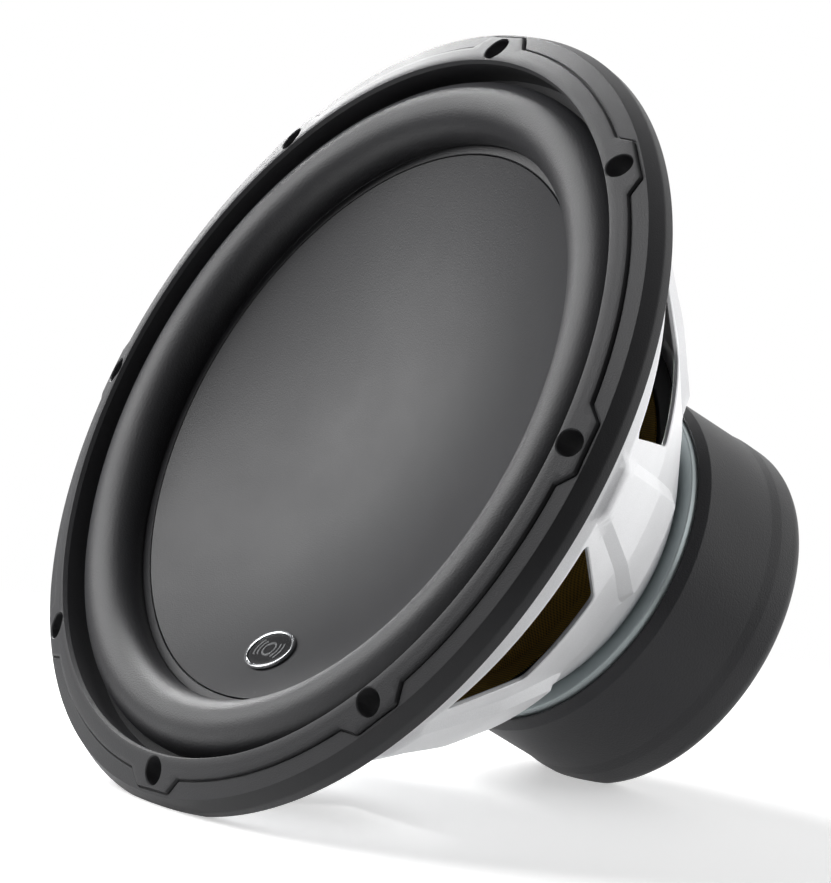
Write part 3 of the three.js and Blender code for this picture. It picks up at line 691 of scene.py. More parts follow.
# ------------------------------------------------------------------ basket
class Sheet:
    """The pressed sheet, laid out as degrees round the axis and run along its outer outline."""

    def __init__(self):
        outline = rounded(WALL, WALL_ROUNDING, closed=False) + [(FLANGE_START, FLANGE_BASE)]
        points = [outline[0]]
        for point in outline[1:]:
            last = Vector(points[-1])
            gap = (Vector(point) - last).length
            if gap < 1e-4:
                continue
            steps = max(1, round(gap / 3.5))
            points += [tuple(last.lerp(Vector(point), (k + 1) / steps)) for k in range(steps)]
        self.outline = np.array(points)
        self.run = np.concatenate([[0], np.cumsum(np.linalg.norm(np.diff(self.outline, axis=0), axis=1))])
        self.outward = np.array(shifted(points, 1.0)) - self.outline

    def radius(self, run):
        return np.interp(run, self.run, self.outline[:, 0])

    def at_height(self, height):
        """Run at a height, above the flat foot."""
        start = int(np.searchsorted(self.outline[:, 1], WALL[1][1] + 0.01))
        return np.interp(height, self.outline[start:, 1], self.run[start:])

    def degrees(self, sideways, run):
        return np.degrees(np.arcsin(np.asarray(sideways) / self.radius(run)))

    def place(self, degrees, run, depth):
        """Points on the sheet, `depth` below its outer face."""
        across, down = (np.interp(run, self.run, self.outward[:, k]) for k in range(2))
        radius = self.radius(run) - depth * across
        height = np.interp(run, self.run, self.outline[:, 1]) - depth * down
        angle = np.radians(degrees)
        return np.stack([radius * np.cos(angle), radius * np.sin(angle), height], 1)


def grown(loop, distance):
    """A closed anticlockwise loop moved outward."""
    path = np.array(loop, float)
    ahead = np.roll(path, -1, 0) - path
    ahead /= np.linalg.norm(ahead, axis=1)[:, None]
    right = np.stack([ahead[:, 1], -ahead[:, 0]], 1)
    before = np.roll(right, 1, 0)
    scale = distance / (1 + (before * right).sum(1))
    return path + (before + right) * scale[:, None]


def dense(loop, step):
    """A closed loop with points no further apart than step."""
    made = []
    for here, ahead in zip(loop, loop[1:] + loop[:1]):
        gap = math.dist(here, ahead)
        count = max(1, math.ceil(gap / step))
        made += [tuple(Vector(here).lerp(Vector(ahead), k / count)) for k in range(count)]
    return made


def clear_of(points, loops, limit):
    """Which points keep `limit` from every loop's corners."""
    corners = np.vstack(loops)
    gaps = np.linalg.norm(points[:, None, :] - corners[None, :, :], axis=2)
    return gaps.min(1) > limit


def window_loop(sheet):
    """A window's outline as (sideways, run)."""
    foot, top = sheet.at_height(WINDOW_FOOT), sheet.at_height(WINDOW_TOP)
    a, b = WINDOW_FOOT_HALF, WINDOW_TOP_HALF
    corners = [(-a, foot), (a, foot), (b, top), (-b, top)]
    return dense(rounded(corners, [4, 4, 2.2, 2.2], steps=6), 2.0)


def pad_corners(sheet):
    foot, bend, top = (sheet.at_height(h) for h in (PAD_FOOT, PAD_FOOT + 6.5, PAD_TOP))
    a, b = PAD_FOOT_HALF, PAD_TOP_HALF
    return [(-a, foot), (a, foot), (a, bend), (b, top), (-b, top), (-a, bend)]


def pad_lift(sheet, sideways, run):
    """How far the pressed pad stands proud of the sheet, highest at its foot."""
    corners = np.array(pad_corners(sheet))
    depth = np.full(len(run), 1e3)
    points = np.stack([sideways, run], 1)
    for a, b in zip(corners, np.roll(corners, -1, 0)):
        along = (b - a) / np.linalg.norm(b - a)
        depth = np.minimum(depth, (points - a) @ np.array([-along[1], along[0]]))
    share = np.clip(depth / PAD_SIDE, 0, 1)
    foot, top = corners[0][1], corners[3][1]
    height = sizes().pad_rise / MM * (1 - 0.45 * np.clip((run - foot) / (top - foot), 0, 1))
    return height * share


def build_basket():
    sheet = Sheet()
    pitch = 360 / SPOKES
    columns = AROUND // SPOKES
    rows = sheet.run
    heights = [sheet.outline[0][1], 92, 113, 145.8, FLANGE_BASE - 0.6, FLANGE_BASE]
    turned = [18.5, 17.5, 12.6, 7.1, 8.5, 8.5]  # degrees: the patches meet between window and pad
    seam = np.interp(np.interp(rows, sheet.run, sheet.outline[:, 1]), heights, turned)
    degrees = np.add.outer(seam, np.arange(columns + 1) * pitch / columns)
    stretch_x = 1.6  # degrees to about a millimetre of sheet, so that the triangles stay even
    grid = np.stack([degrees.ravel() * stretch_x, np.repeat(rows, columns + 1)], 1)
    window = window_loop(sheet)
    pad = dense(rounded(pad_corners(sheet), 2.5, steps=4), 3.0)
    crown = dense(rounded(grown(pad_corners(sheet), -PAD_SIDE), 1.5, steps=3), 3.0)
    loops = []
    for loop, centre in ((window, pitch / 2), (grown(window, 0.45), pitch / 2), (pad, pitch), (crown, pitch)):
        loop = np.array(loop)
        loops.append(np.stack([(sheet.degrees(loop[:, 0], loop[:, 1]) + centre) * stretch_x, loop[:, 1]], 1))
    edge = np.zeros(degrees.shape, bool)
    edge[[0, -1], :] = True
    edge[:, [0, -1]] = True
    keep = edge.ravel() | (clear_of(grid, loops, 0.9) & ~inside(loops[1], grid))
    index = -np.ones(len(grid), int)
    index[keep] = np.arange(keep.sum())
    board = index.reshape(degrees.shape)
    points = [*grid[keep]]
    paths = [list(board[:, 0]), list(board[:, -1]), list(board[0]), list(board[-1])]
    for loop in loops:
        first = len(points)
        points += [*loop]
        paths.append([*range(first, len(points)), first])
    cut_first = len(grid[keep])
    cut = range(cut_first, cut_first + len(loops[0]))
    cells = grid.reshape(*degrees.shape, 2)
    border = np.vstack([cells[0], cells[:, -1], cells[-1][::-1], cells[::-1, 0]])

    def drop(middles):
        return inside(loops[0], middles) | ~inside(border, middles)

    corners, faces, origin = triangles(points, paths, drop)
    on_cut = np.array([any(i in cut for i in found) for found in origin])
    angle, run = corners[:, 0] / stretch_x, corners[:, 1]
    sideways = sheet.radius(run) * np.sin(np.radians(angle - pitch))
    lift = np.where(np.abs(angle - pitch) < 20, pad_lift(sheet, sideways, run), 0)
    chamfer = 0.4
    body = Surface()
    outer = sheet.place(angle, run, np.where(on_cut, chamfer, 0) - lift)
    inner = sheet.place(angle, run, np.where(on_cut, SHEET - chamfer, SHEET) - lift)
    sectors(body, outer, faces, SPOKES, FIRST_SPOKE)
    sectors(body, inner, faces[:, ::-1], SPOKES, FIRST_SPOKE)
    around = (loops[0][:, 0] / stretch_x, loops[0][:, 1])
    rim = Surface().loft([sheet.place(*around, chamfer), sheet.place(*around, SHEET - chamfer)])
    sectors(body, rim.vertices, rim.faces, SPOKES, FIRST_SPOKE)
    start = np.zeros(columns + 1)
    foot = Surface().loft([sheet.place(degrees[0], start, depth) for depth in (0, SHEET)], closed=False)
    sectors(body, foot.vertices, foot.faces, SPOKES, FIRST_SPOKE)
    edge_radius = 0.5
    bottom, top = FLANGE_BASE, FLANGE_BASE + SHEET
    rim_start = FLANGE_RADIUS - edge_radius
    rows = np.linspace(FLANGE_START, rim_start, 6)
    for height in (bottom, top):
        sectors(body, *drilled_face(rows, FLANGE_HOLE, flat_ground(height)), BOLT_COUNT)
    hole = hole_loop(FLANGE_HOLE)
    bore = Surface().loft([[(x, y, bottom) for x, y in hole], [(x, y, top) for x, y in hole]])
    sectors(body, bore.vertices, bore.faces, BOLT_COUNT)
    lip = arc((rim_start, bottom + edge_radius), edge_radius, -90, 0, 3)
    lip += arc((rim_start, top - edge_radius), edge_radius, 0, 90, 3)
    body.turn(lip, AROUND, closed=False)
    make("pressed_basket", body, look("basket"), BASKET_NODES, sharp=24)
    for k in range(1, PLATE_SCREWS + 1):
        soften(f"plate_screw_{k}", f"basket_screw_{k}", 0.25, look("steel"))


def flat_ground(height):
    """The ground of a flat face, for drilled_face."""
    return lambda points: np.full(len(points), height)


def hole_loop(radius):
    """A bolt hole in the first sector, as plan points."""
    return arc((BOLT_CIRCLE, 0), radius, 0, 360, 40)[:-1]


def drilled_face(rows, hole_radius, ground, creases=()):
    """One eighth of a ring-shaped face with a bolt hole, as vertices and triangles.

    `rows` are radii, `ground` gives the height of plan points, and a crease is a plan path and its heights.
    """
    half = 180 / BOLT_COUNT
    angles = np.linspace(-half, half, AROUND // BOLT_COUNT + 1)
    grid = np.array([polar(r, a) for r in rows for a in angles])
    board = np.arange(len(grid)).reshape(len(rows), -1)
    hole = np.array(hole_loop(hole_radius))
    paths = [np.array(path) for path, _ in creases]
    edge = np.zeros(len(grid), bool)
    edge[np.concatenate([board[0], board[-1], board[:, 0], board[:, -1]])] = True
    clear = clear_of(grid, [hole, *paths], 0.75) & ~inside(hole, grid)
    keep = edge | clear
    index = np.cumsum(keep) - 1
    points = [*grid[keep]]
    lines = [list(index[b]) for b in (board[0], board[-1], board[:, 0], board[:, -1])]
    heights = {}
    for path, levels in [(hole, None), *zip(paths, (level for _, level in creases))]:
        first = len(points)
        points += [*path]
        lines.append([*range(first, len(points)), *([first] if levels is None else [])])
        if levels is not None:
            heights.update(zip(range(first, len(points)), levels))
    shortest = rows[0] * math.cos(math.radians(360 / AROUND / 2)) - 0.01

    def drop(middles):
        return inside(hole, middles) | (np.hypot(middles[:, 0], middles[:, 1]) < shortest)

    corners, faces, origin = triangles(points, lines, drop)
    levels = ground(corners)
    for i, found in enumerate(origin):
        known = [heights[k] for k in found if k in heights]
        if known:
            levels[i] = known[0]
    return np.column_stack([corners, levels]), faces


def soften(node, name, width, finish, body="frame"):
    """A machined piece from its CAD shape, with its edges eased."""
    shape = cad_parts[node]
    work = bmesh.new()
    work.from_mesh(shape.data)
    work.transform(shape.matrix_world)
    bmesh.ops.remove_doubles(work, verts=work.verts, dist=2e-6)
    bmesh.ops.dissolve_limit(work, angle_limit=math.radians(1), verts=work.verts, edges=work.edges)
    edges = [e for e in work.edges if e.is_manifold and e.calc_face_angle() > math.radians(35)]
    bmesh.ops.bevel(
        work, geom=edges, offset=width * MM, segments=2, profile=0.6, affect="EDGES", clamp_overlap=True
    )
    surface = Surface()
    work.verts.index_update()
    surface.add([v.co / MM for v in work.verts], [[v.index for v in f.verts] for f in work.faces])
    work.free()
    return make(name, surface, finish, [node], body, sharp=40)


# ------------------------------------------------------------------ trim ring
def band_height(points):
    radius = np.hypot(points[:, 0], points[:, 1])
    return LIP_TOP - FACE_SLOPE * np.clip(radius - LIP_RADIUS - LIP_WIDTH, 0, None)


def outer_height(points):
    radius = np.hypot(points[:, 0], points[:, 1])
    return BAND_EDGE - STEP_DEPTH - OUTER_SLOPE * (radius - BAND_RADIUS)


def band_outline(distance):
    """Edge of the raised band and its screw tab over one sector, moved outward by `distance`."""
    half = 180 / BOLT_COUNT
    root = math.degrees(math.asin(TAB_ROOT / BAND_RADIUS))
    before = arc((0, 0), BAND_RADIUS, -half, -root, 18)
    tab = [before[-1], (TAB_REACH, -TAB_TIP), (TAB_REACH, TAB_TIP), (before[-1][0], TAB_ROOT)]
    mirrored = (before[-2][0], -before[-2][1])
    corner = rounded([before[-2], *tab, mirrored], [0, 1.6, 1.8, 1.8, 1.6, 0], closed=False)
    path = [*before[:-2], *corner, *[(x, -y) for x, y in reversed(before[:-2])]]
    spaced = [path[0]]
    for point in path[1:]:
        gap = math.dist(spaced[-1], point)
        if gap < 0.02:
            continue
        count = math.ceil(gap / 2.2)
        last = Vector(spaced[-1])
        spaced += [tuple(last.lerp(Vector(point), (k + 1) / count)) for k in range(count)]
    moved = shifted(spaced, distance)
    moved[0], moved[-1] = polar(BAND_RADIUS + distance, -half), polar(BAND_RADIUS + distance, half)
    return np.array(moved)


def build_ring():
    width, depth = sizes().groove_width / MM, sizes().groove_depth / MM
    bevel = BAND_BEVEL
    steps = [
        (-bevel, band_height),
        (-0.25 * bevel, lambda p: band_height(p) - 0.22 * bevel),
        (0, lambda p: band_height(p) - 0.8 * bevel),
        (0.06, lambda p: outer_height(p) - depth),
        (width, lambda p: outer_height(p) - depth),
        (width + 0.1, lambda p: outer_height(p) - 0.25),
        (width + 0.45, outer_height),
    ]
    creases = [(band_outline(d), height(band_outline(d))) for d, height in steps]
    past = 25  # degrees, a little more than the sector's half, so that its borders count as inside
    crown = [polar(BAND_RADIUS, -past), *band_outline(0), polar(BAND_RADIUS, past), (0, 0)]

    def ground(points):
        return np.where(inside(crown, points), band_height(points), outer_height(points))

    chamfer, floor, lip, rim = 0.4, RING_LOW.z, FACE_START, FACE_RIM
    body = Surface()
    hole = hole_loop(RING_HOLE)
    wide = hole_loop(RING_HOLE + chamfer)
    rows = [lip, LIP_RADIUS + LIP_WIDTH, 146.6, 148.4, 152.6, 154.4, rim]
    sectors(body, *drilled_face(rows, RING_HOLE + chamfer, ground, creases), BOLT_COUNT)
    rows = [lip, 147, 151, 155, UNDERSIDE_RIM]
    sectors(body, *drilled_face(rows, RING_HOLE, flat_ground(floor)), BOLT_COUNT)
    face = band_height(np.array(wide))
    bore = Surface().loft([
        [(x, y, z) for (x, y), z in zip(wide, face)],
        [(x, y, z - chamfer) for (x, y), z in zip(hole, face)],
        [(x, y, floor) for x, y in hole],
    ])
    sectors(body, bore.vertices, bore.faces, BOLT_COUNT)
    fall = outer_height(np.array([[rim, 0.0], [SHOULDER_RADIUS, 0.0]]))
    side = [(rim, fall[0]), (SHOULDER_RADIUS, fall[1]), (RING_RADIUS, RING_LOW.z + SIDE_HEIGHT)]
    side += [(RING_RADIUS - 0.3, floor), (UNDERSIDE_RIM, floor)]
    body.turn(rounded(side, [0, 0.7, 3, 0.3, 0], closed=False, steps=5), AROUND, closed=False)
    inner = [(lip, floor), (LIP_RADIUS, floor + 1.2), (LIP_RADIUS, LIP_TOP - 1.5), (lip, LIP_TOP)]
    body.turn(rounded(inner, [0, 0.3, 0.3, 0], closed=False), AROUND, closed=False)
    make("clamp_ring", body, look("ring"), ["trim_ring"], sharp=28)


# ------------------------------------------------------------------ cone, surround and suspension
def dish_height(radius):
    return DISH_HIGH.z - DISH_DEPTH * (1 - (radius / CONE_EDGE) ** 2)


def build_cone():
    wall, rim = CONE_WALL, DISH_HIGH.x
    radii = np.linspace(0, CONE_EDGE - 0.35, 48)
    face = [(r, dish_height(r)) for r in radii]
    back = [(r, z - wall) for r, z in face[::-1] if r < CONE_EDGE - 3]
    seat = DISH_HIGH.z - 1.6
    edge = [face[-1], (CONE_EDGE, seat), (rim, seat), (rim, seat - wall), back[0]]
    edge = rounded(edge, [0, 0.4, 0.4, 0.8, 0], closed=False)
    make(
        "dished_cone", Surface().turn([*face[:-1], *edge, *back[1:]], 288, closed=False),
        look("cone"), ["cone_dish"], "cone",
    )
    neck, base, top = REAR_LOW.z, REAR_LOW.z + 4, REAR_HIGH.z
    inner, wall = FORMER_HIGH.x + GAP, REAR_WALL
    slope = Vector((REAR_HIGH.x - inner - wall, top - base)).normalized()
    shell = rounded(
        [
            (inner, neck), (inner + wall, neck), (inner + wall, base), (REAR_HIGH.x, top),
            (REAR_HIGH.x - wall / slope.y, top), (inner, base + wall * (1 - slope.x) / slope.y),
        ],
        [0.5, 0.6, 5, 0.7, 0.7, 5],
    )
    make("rear_cone", Surface().turn(shell, 256), look("cone"), ["cone_body"], "cone")


def sleeve(name, inner, low, high, edge, finish, node):
    """A round sleeve on the cone's body, between the corners that its CAD node gives."""
    outline = rounded([(inner, low.z), (high.x, low.z), (high.x, high.z), (inner, high.z)], edge)
    make(name, Surface().turn(outline, 192), look(finish), [node], "cone")


def build_coil():
    outer = FORMER_HIGH.x
    sleeve("bobbin", outer - 1, FORMER_LOW, FORMER_HIGH, 0.2, "film", "coil_former")
    inner = outer + GAP
    sleeve("winding", inner, COIL_LOW, COIL_HIGH, 0.4, "winding", "voice_coil")
    sleeve("lead_collar", inner, COLLAR_LOW, COLLAR_HIGH, 0.7, "film", "former_collar")


def build_surround():
    centre, radius = ROLL_CENTRE, ROLL_RADIUS
    foot = arc(centre, radius, ROLL_START, ROLL_START, 1)[0]
    inner = CONE_EDGE + GAP
    flat = foot[1] + 0.15
    clamp, rim, edge = RING_LOW.z + 1.2, centre[0] + radius, 143.2
    outside = [
        (inner, flat - 1.2), (inner, flat - 0.2), (inner + 0.2, flat),
        (foot[0] - 0.55, flat), (foot[0] - 0.2, flat - 0.35), *arc(centre, radius, ROLL_START - 1, -8, 56),
        (rim + 0.5, clamp + 0.2), (rim + 0.9, clamp), (edge, clamp), (edge, clamp - 1),
        (rim - RUBBER, clamp - 1),
    ]
    inside_roll = arc(centre, radius - RUBBER, 0, 190, 48)
    roll = Surface().turn([*outside, *inside_roll, (foot[0] + 1.2, flat - 1.2)], AROUND)
    piece = make("half_roll", roll, look("surround"), ["surround"], None)
    stretch(piece, rim, foot[0])


def build_spider():
    inner, outer = FORMER_HIGH.x + GAP, SPIDER_HIGH.x
    start, end = inner + 4.5, outer - 5.5
    radii = np.linspace(start, end, 97)
    along = (radii - start) / (end - start)
    fade = np.clip(np.minimum(along, 1 - along) * 14, 0, 1)
    waves = SPIDER_SWING * np.sin(along * 2 * math.pi * SPIDER_WAVES) * fade * fade * (3 - 2 * fade)
    line = [(inner, SPIDER_PLANE), (inner + 2, SPIDER_PLANE), *zip(radii, SPIDER_PLANE + waves)]
    line += [(outer - 2.5, SPIDER_PLANE), (outer, SPIDER_PLANE)]
    cloth = Surface().turn([*shifted(line, CLOTH_HALF), *reversed(shifted(line, -CLOTH_HALF))], 256)
    piece = make("corrugated_spider", cloth, look("spider"), ["spider"], None, sharp=60)
    stretch(piece, outer - 5, inner + 3)
    rim = [(LEDGE_INNER, LEDGE_LOW.z), (LEDGE_HIGH.x - 5.6, LEDGE_LOW.z), (LEDGE_HIGH.x, LEDGE_HIGH.z)]
    rim = rounded([*rim, (LEDGE_INNER, LEDGE_HIGH.z)], 0.5)
    make("spider_seat", Surface().turn(rim, 192), look("black"), ["spider_ledge"])


# ------------------------------------------------------------------ badge
def badge_place():
    slope = math.atan(2 * DISH_DEPTH * BADGE_CENTRE / CONE_EDGE**2)
    origin = Vector((-BADGE_CENTRE + BADGE_LIFT * math.sin(slope), 0, 0))
    origin.z = dish_height(BADGE_CENTRE) + BADGE_LIFT * math.cos(slope)
    return Matrix.Translation(origin) @ Matrix.Rotation(slope, 4, "Y")


def oval(inset, height, count=96):
    a, b = BADGE_HALF[0] - inset, BADGE_HALF[1] - inset
    return [(a * math.cos(t), b * math.sin(t), height) for t in np.linspace(0, 2 * math.pi, count + 1)[:-1]]


def build_badge():
    place = badge_place()
    bead = [(0, 0), (0, 0.85), (0.15, 1.08), (0.35, 1.2), (0.6, 1.15), (0.78, 0.8), (0.95, 1.05)]
    rings = [oval(inset, height) for inset, height in [*bead, (1.2, 0.95), (1.2, 0), bead[0]]]
    rim = Surface().loft(rings).placed(place)
    make("badge_bezel", rim, look("chrome"), ["badge_rim"], "cone", sharp=50)
    dome = [(1.5, 0), (1.5, 0.55), (1.9, 0.66), (3.5, 0.72), (5.5, 0.76), (8.2, 0.79)]
    rings = [oval(inset, height) for inset, height in dome]
    field = Surface().loft(rings).cap(rings[-1]).cap(rings[0]).placed(place)
    make("badge_plate", field, look("gloss"), ["badge_field"], "cone", sharp=40)
    mark = Surface()
    for radius, turn in ((5.6, 38), (7.6, 30), (3.4, 180)):
        for middle in (90, 270) if turn < 180 else (90,):
            outer = arc((0, 0), radius, middle - turn, middle + turn, 28)
            inner = arc((0, 0), radius - 0.75, middle - turn, middle + turn, 28)
            low = [[(x, y, 0.6) for x, y in p] for p in (outer, inner)]
            high = [[(x, y, 0.98) for x, y in p] for p in (outer, inner)]
            section = [low[0], high[0], high[1], low[1]]
            mark.loft([*section, low[0]], closed=False)
            if turn < 180:
                mark.cap([line[0] for line in section]).cap([line[-1] for line in section])
    make("badge_mark", mark.placed(place), look("chrome"), (), "cone", sharp=40)


# ------------------------------------------------------------------ wire terminal
def terminal_place():
    (r0, z0), (r1, z1) = WALL[2], WALL[3]
    slope = math.atan2(z1 - z0, r1 - r0)
    out = Vector((math.sin(slope), 0, -math.cos(slope)))
    up = Vector((math.cos(slope), 0, math.sin(slope)))
    origin = Vector(((r0 + r1) / 2, 0, (z0 + z1) / 2)) + out * 1.8
    basis = Matrix((Vector((0, 1, 0)), up, out)).transposed().to_4x4()
    return Matrix.Rotation(math.radians(TERMINAL_ANGLE), 4, "Z") @ Matrix.Translation(origin) @ basis


def tube(path, radius, sides):
    """A round tube along points, with closed ends."""
    points = [Vector(p) for p in path]
    rings = []
    up = Vector((0.3, 0.2, 1))
    for k, point in enumerate(points):
        ahead = (points[min(k + 1, len(points) - 1)] - points[max(k - 1, 0)]).normalized()
        across = ahead.cross(up).normalized()
        up = across.cross(ahead).normalized()
        turns = np.linspace(0, 2 * math.pi, sides + 1)[:-1]
        rings.append([point + radius * (math.cos(a) * across + math.sin(a) * up) for a in turns])
    return Surface().loft(rings).cap(rings[0]).cap(rings[-1])


def smooth_path(points, steps):
    """A centripetal Catmull-Rom curve through the points."""
    knots = [Vector(p) for p in points]
    knots = [2 * knots[0] - knots[1], *knots, 2 * knots[-1] - knots[-2]]
    made = []
    for a, b, c, d in zip(knots, knots[1:], knots[2:], knots[3:]):
        t1 = (b - a).length ** 0.5
        t2 = t1 + (c - b).length ** 0.5
        t3 = t2 + (d - c).length ** 0.5
        for k in range(steps):
            t = t1 + (t2 - t1) * k / steps
            a1 = a.lerp(b, t / t1)
            a2 = b.lerp(c, (t - t1) / (t2 - t1))
            a3 = c.lerp(d, (t - t2) / (t3 - t2))
            made.append(a1.lerp(a2, t / t2).lerp(a2.lerp(a3, (t - t1) / (t3 - t1)), (t - t1) / (t2 - t1)))
    return [*made, knots[-2]]


def build_terminal():
    place = terminal_place()
    soften("terminal_housing", "terminal_block", 0.5, look("black"))
    for hand in ("left", "right"):
        soften(f"terminal_screw_{hand}", f"block_screw_{hand}", 0.2, look("steel"))
    for side, pole, color in ((-1, "positive", "red"), (1, "negative", "black")):
        body = f"button_{pole}"
        soften(f"push_{body}", body, 0.6, look(color), body)
        soften(f"contact_tab_{pole}", f"tab_{pole}", 0.15, look("tinned"))
        x = side * BUTTON_SPREAD
        coil = []
        for t in np.linspace(0, 1, 48 * SPRING_TURNS + 1):
            across, up = polar(SPRING_RADIUS, 360 * SPRING_TURNS * t)
            coil.append(place @ Vector((x + across, BUTTON_RISE + up, SPRING_SEAT + SPRING_LENGTH * t)))
        wire = tube(coil, SPRING_WIRE, 10)
        spring = make(f"spring_{pole}", wire, look("steel"), [f"button_spring_{pole}"])
        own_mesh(spring)
        route = [place @ Vector((x, TAB_HEIGHT, -7.9)), place @ Vector((x, TAB_HEIGHT, -13.6))]
        for radius, spread, rise in ((64, 8, 9.5), (50, 10, 11), (38, 13, 7), (COLLAR_HIGH.x + 1.4, 15, 5.6)):
            route.append(Vector((*polar(radius, TERMINAL_ANGLE + side * spread), SPIDER_PLANE + rise)))
        cord = tube(smooth_path(route, 22), LEAD_RADIUS, 14)
        lead = make(f"lead_{pole}", cord, look("braid"), [f"tinsel_lead_{pole}"], None)
        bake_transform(lead)


# ------------------------------------------------------------------ studio
class SubwooferStudio(bpy.types.PropertyGroup):
    """Light and surroundings."""

    strip: FloatProperty(
        name="Strip Softbox", description="Power of the long softbox on the left, in watts",
        default=22, min=0.0, unit="POWER",
    )
    back: FloatProperty(
        name="Back Softbox", description="Power of the small softbox above and behind, in watts",
        default=15, min=0.0, unit="POWER",
    )
    side: FloatProperty(
        name="Side Softbox", description="Power of the softbox on the right, in watts",
        default=4, min=0.0, unit="POWER",
    )
    room: FloatProperty(
        name="Room", description="Brightness of the room in front of the driver",
        default=0.1, min=0.0, max=3.0, subtype="FACTOR",
    )
    backdrop: FloatProperty(
        name="Backdrop", description="Brightness of the white sweep behind the driver",
        default=1.7, min=0.0, max=3.0, subtype="FACTOR",
    )
    floor: colour("Floor", "Paper under the driver", (0.9, 0.9, 0.9))


def softbox(name, direction, distance, along, length, width, power):
    """A rectangular lamp looking at the middle of the driver, with its length laid along a direction."""
    lamp = bpy.data.lights.new(name, "AREA")
    lamp.shape = "RECTANGLE"
    lamp.size, lamp.size_y = length, width
    lamp.energy = power
    box = bpy.data.objects.new(name, lamp)
    toward = direction.normalized()
    across = toward.cross(along).normalized()
    place = Matrix((across.cross(toward), across, toward)).transposed().to_4x4()
    box.matrix_world = Matrix.Translation(Vector(AIM) * MM + toward * distance) @ place
    bpy.context.scene.collection.objects.link(box)


def view_axes():
    """Right, up and towards-the-camera of the main view."""
    a, e, roll = (math.radians(v) for v in (AZIMUTH, ELEVATION, ROLL))
    back = Vector((math.sin(a) * math.cos(e), -math.cos(a) * math.cos(e), math.sin(e)))
    level = Vector((math.cos(a), math.sin(a), 0))
    upright = back.cross(level)
    up = upright * math.cos(roll) + level * math.sin(roll)
    return up.cross(back), up, back


def build_stage():
    studio = bpy.context.scene.subwoofer_studio
    right, up, back = view_axes()
    camera = bpy.data.cameras.new("camera")
    camera.lens, camera.sensor_width = LENS, 36.0
    camera.clip_start, camera.clip_end = 0.05, 50.0
    view = bpy.data.objects.new("camera", camera)
    turned = Matrix((right, up, back)).transposed().to_4x4()
    view.matrix_world = Matrix.Translation((Vector(AIM) + back * DISTANCE) * MM) @ turned
    bpy.context.scene.collection.objects.link(view)
    bpy.context.scene.camera = view
    lean = right * 0.48 + up * 0.76 + back * 0.45
    softbox("strip", right * -0.72 + up * 0.66 - back * 0.02, 1.3, lean, 1.5, 0.7, studio.strip)
    low = right * -0.57 + up * 0.1 - back * 0.82
    softbox("back", right * -0.3 + up * 0.62 - back * 0.73, 1.3, low, 0.7, 0.22, studio.back)
    softbox("side", right * 0.95 + up * 0.2 + back * 0.2, 1.4, up, 0.9, 0.7, studio.side)
    build_floor(studio.floor)
    build_world(studio.room, studio.backdrop, (right * 0.5 - up * 0.1 - back * 0.85).normalized())
    bpy.context.scene.view_settings.view_transform = "Standard"


def build_floor(color):
    """Pale paper under the driver: seen from above only, and faded out round its edge."""
    normal = Vector(FLOOR_UP).normalized()
    turn = normal.to_track_quat("Z", "Y").to_matrix().to_4x4()
    mesh = bpy.data.meshes.new("floor")
    half = FLOOR_HALF
    corners = [(-half, -half, 0), (half, -half, 0), (half, half, 0), (-half, half, 0)]
    mesh.from_pydata(corners, [], [(0, 1, 2, 3)])
    floor = bpy.data.objects.new("floor", mesh)
    floor.matrix_world = Matrix.Translation(Vector(FLOOR_POINT) * MM) @ turn
    paper = Finish("paper", color, 0.9, Emission_Color=(1, 1, 1, 1), Emission_Strength=0.45)
    clear = paper.tree.nodes.new("ShaderNodeBsdfTransparent")
    away = paper.node("ShaderNodeVectorMath", {"operation": "LENGTH"}, 1, {0: paper.place})
    gone = paper.ramp(away, *PAPER_FADE) + paper.node("ShaderNodeNewGeometry", out="Backfacing")
    mixed = paper.tree.nodes.new("ShaderNodeMixShader")
    paper.tree.links.new(gone.socket, mixed.inputs[0])
    paper.tree.links.new(paper.shader.outputs[0], mixed.inputs[1])
    paper.tree.links.new(clear.outputs[0], mixed.inputs[2])
    paper.tree.links.new(mixed.outputs[0], paper.tree.nodes["Material Output"].inputs[0])
    mesh.materials.append(paper.material)
    floor.visible_diffuse = False
    bpy.context.scene.collection.objects.link(floor)


def build_world(room, backdrop, behind):
    """White behind the driver, and a room that lights it, brighter on the backdrop's side."""
    world = bpy.data.worlds.new("studio")
    world.use_nodes = True
    nodes, links = world.node_tree.nodes, world.node_tree.links
    around = nodes["Background"]
    around.inputs["Color"].default_value = (1, 1, 1, 1)
    facing = nodes.new("ShaderNodeVectorMath")
    facing.operation = "DOT_PRODUCT"
    facing.inputs[1].default_value = behind
    links.new(nodes.new("ShaderNodeTexCoord").outputs["Generated"], facing.inputs[0])
    level = nodes.new("ShaderNodeMapRange")
    level.interpolation_type = "SMOOTHSTEP"
    for name, value in (("From Min", 0.2), ("From Max", 0.95), ("To Min", room), ("To Max", backdrop)):
        level.inputs[name].default_value = value
    links.new(facing.outputs["Value"], level.inputs["Value"])
    links.new(level.outputs[0], around.inputs["Strength"])
    white = nodes.new("ShaderNodeBackground")
    white.inputs["Color"].default_value = (1, 1, 1, 1)
    seen = nodes.new("ShaderNodeLightPath").outputs["Is Camera Ray"]
    mixed = nodes.new("ShaderNodeMixShader")
    links.new(seen, mixed.inputs[0])
    links.new(around.outputs[0], mixed.inputs[1])
    links.new(white.outputs[0], mixed.inputs[2])
    links.new(mixed.outputs[0], nodes["World Output"].inputs[0])
    bpy.context.scene.world = world


# ------------------------------------------------------------------ operators
class SUBWOOFER_OT_motor(bpy.types.Operator):
    """Build the rubber boot, plates and magnets"""

    bl_idname = "subwoofer.motor"
    bl_label = "Motor"

    def execute(self, context):
        build_motor()
        return {"FINISHED"}


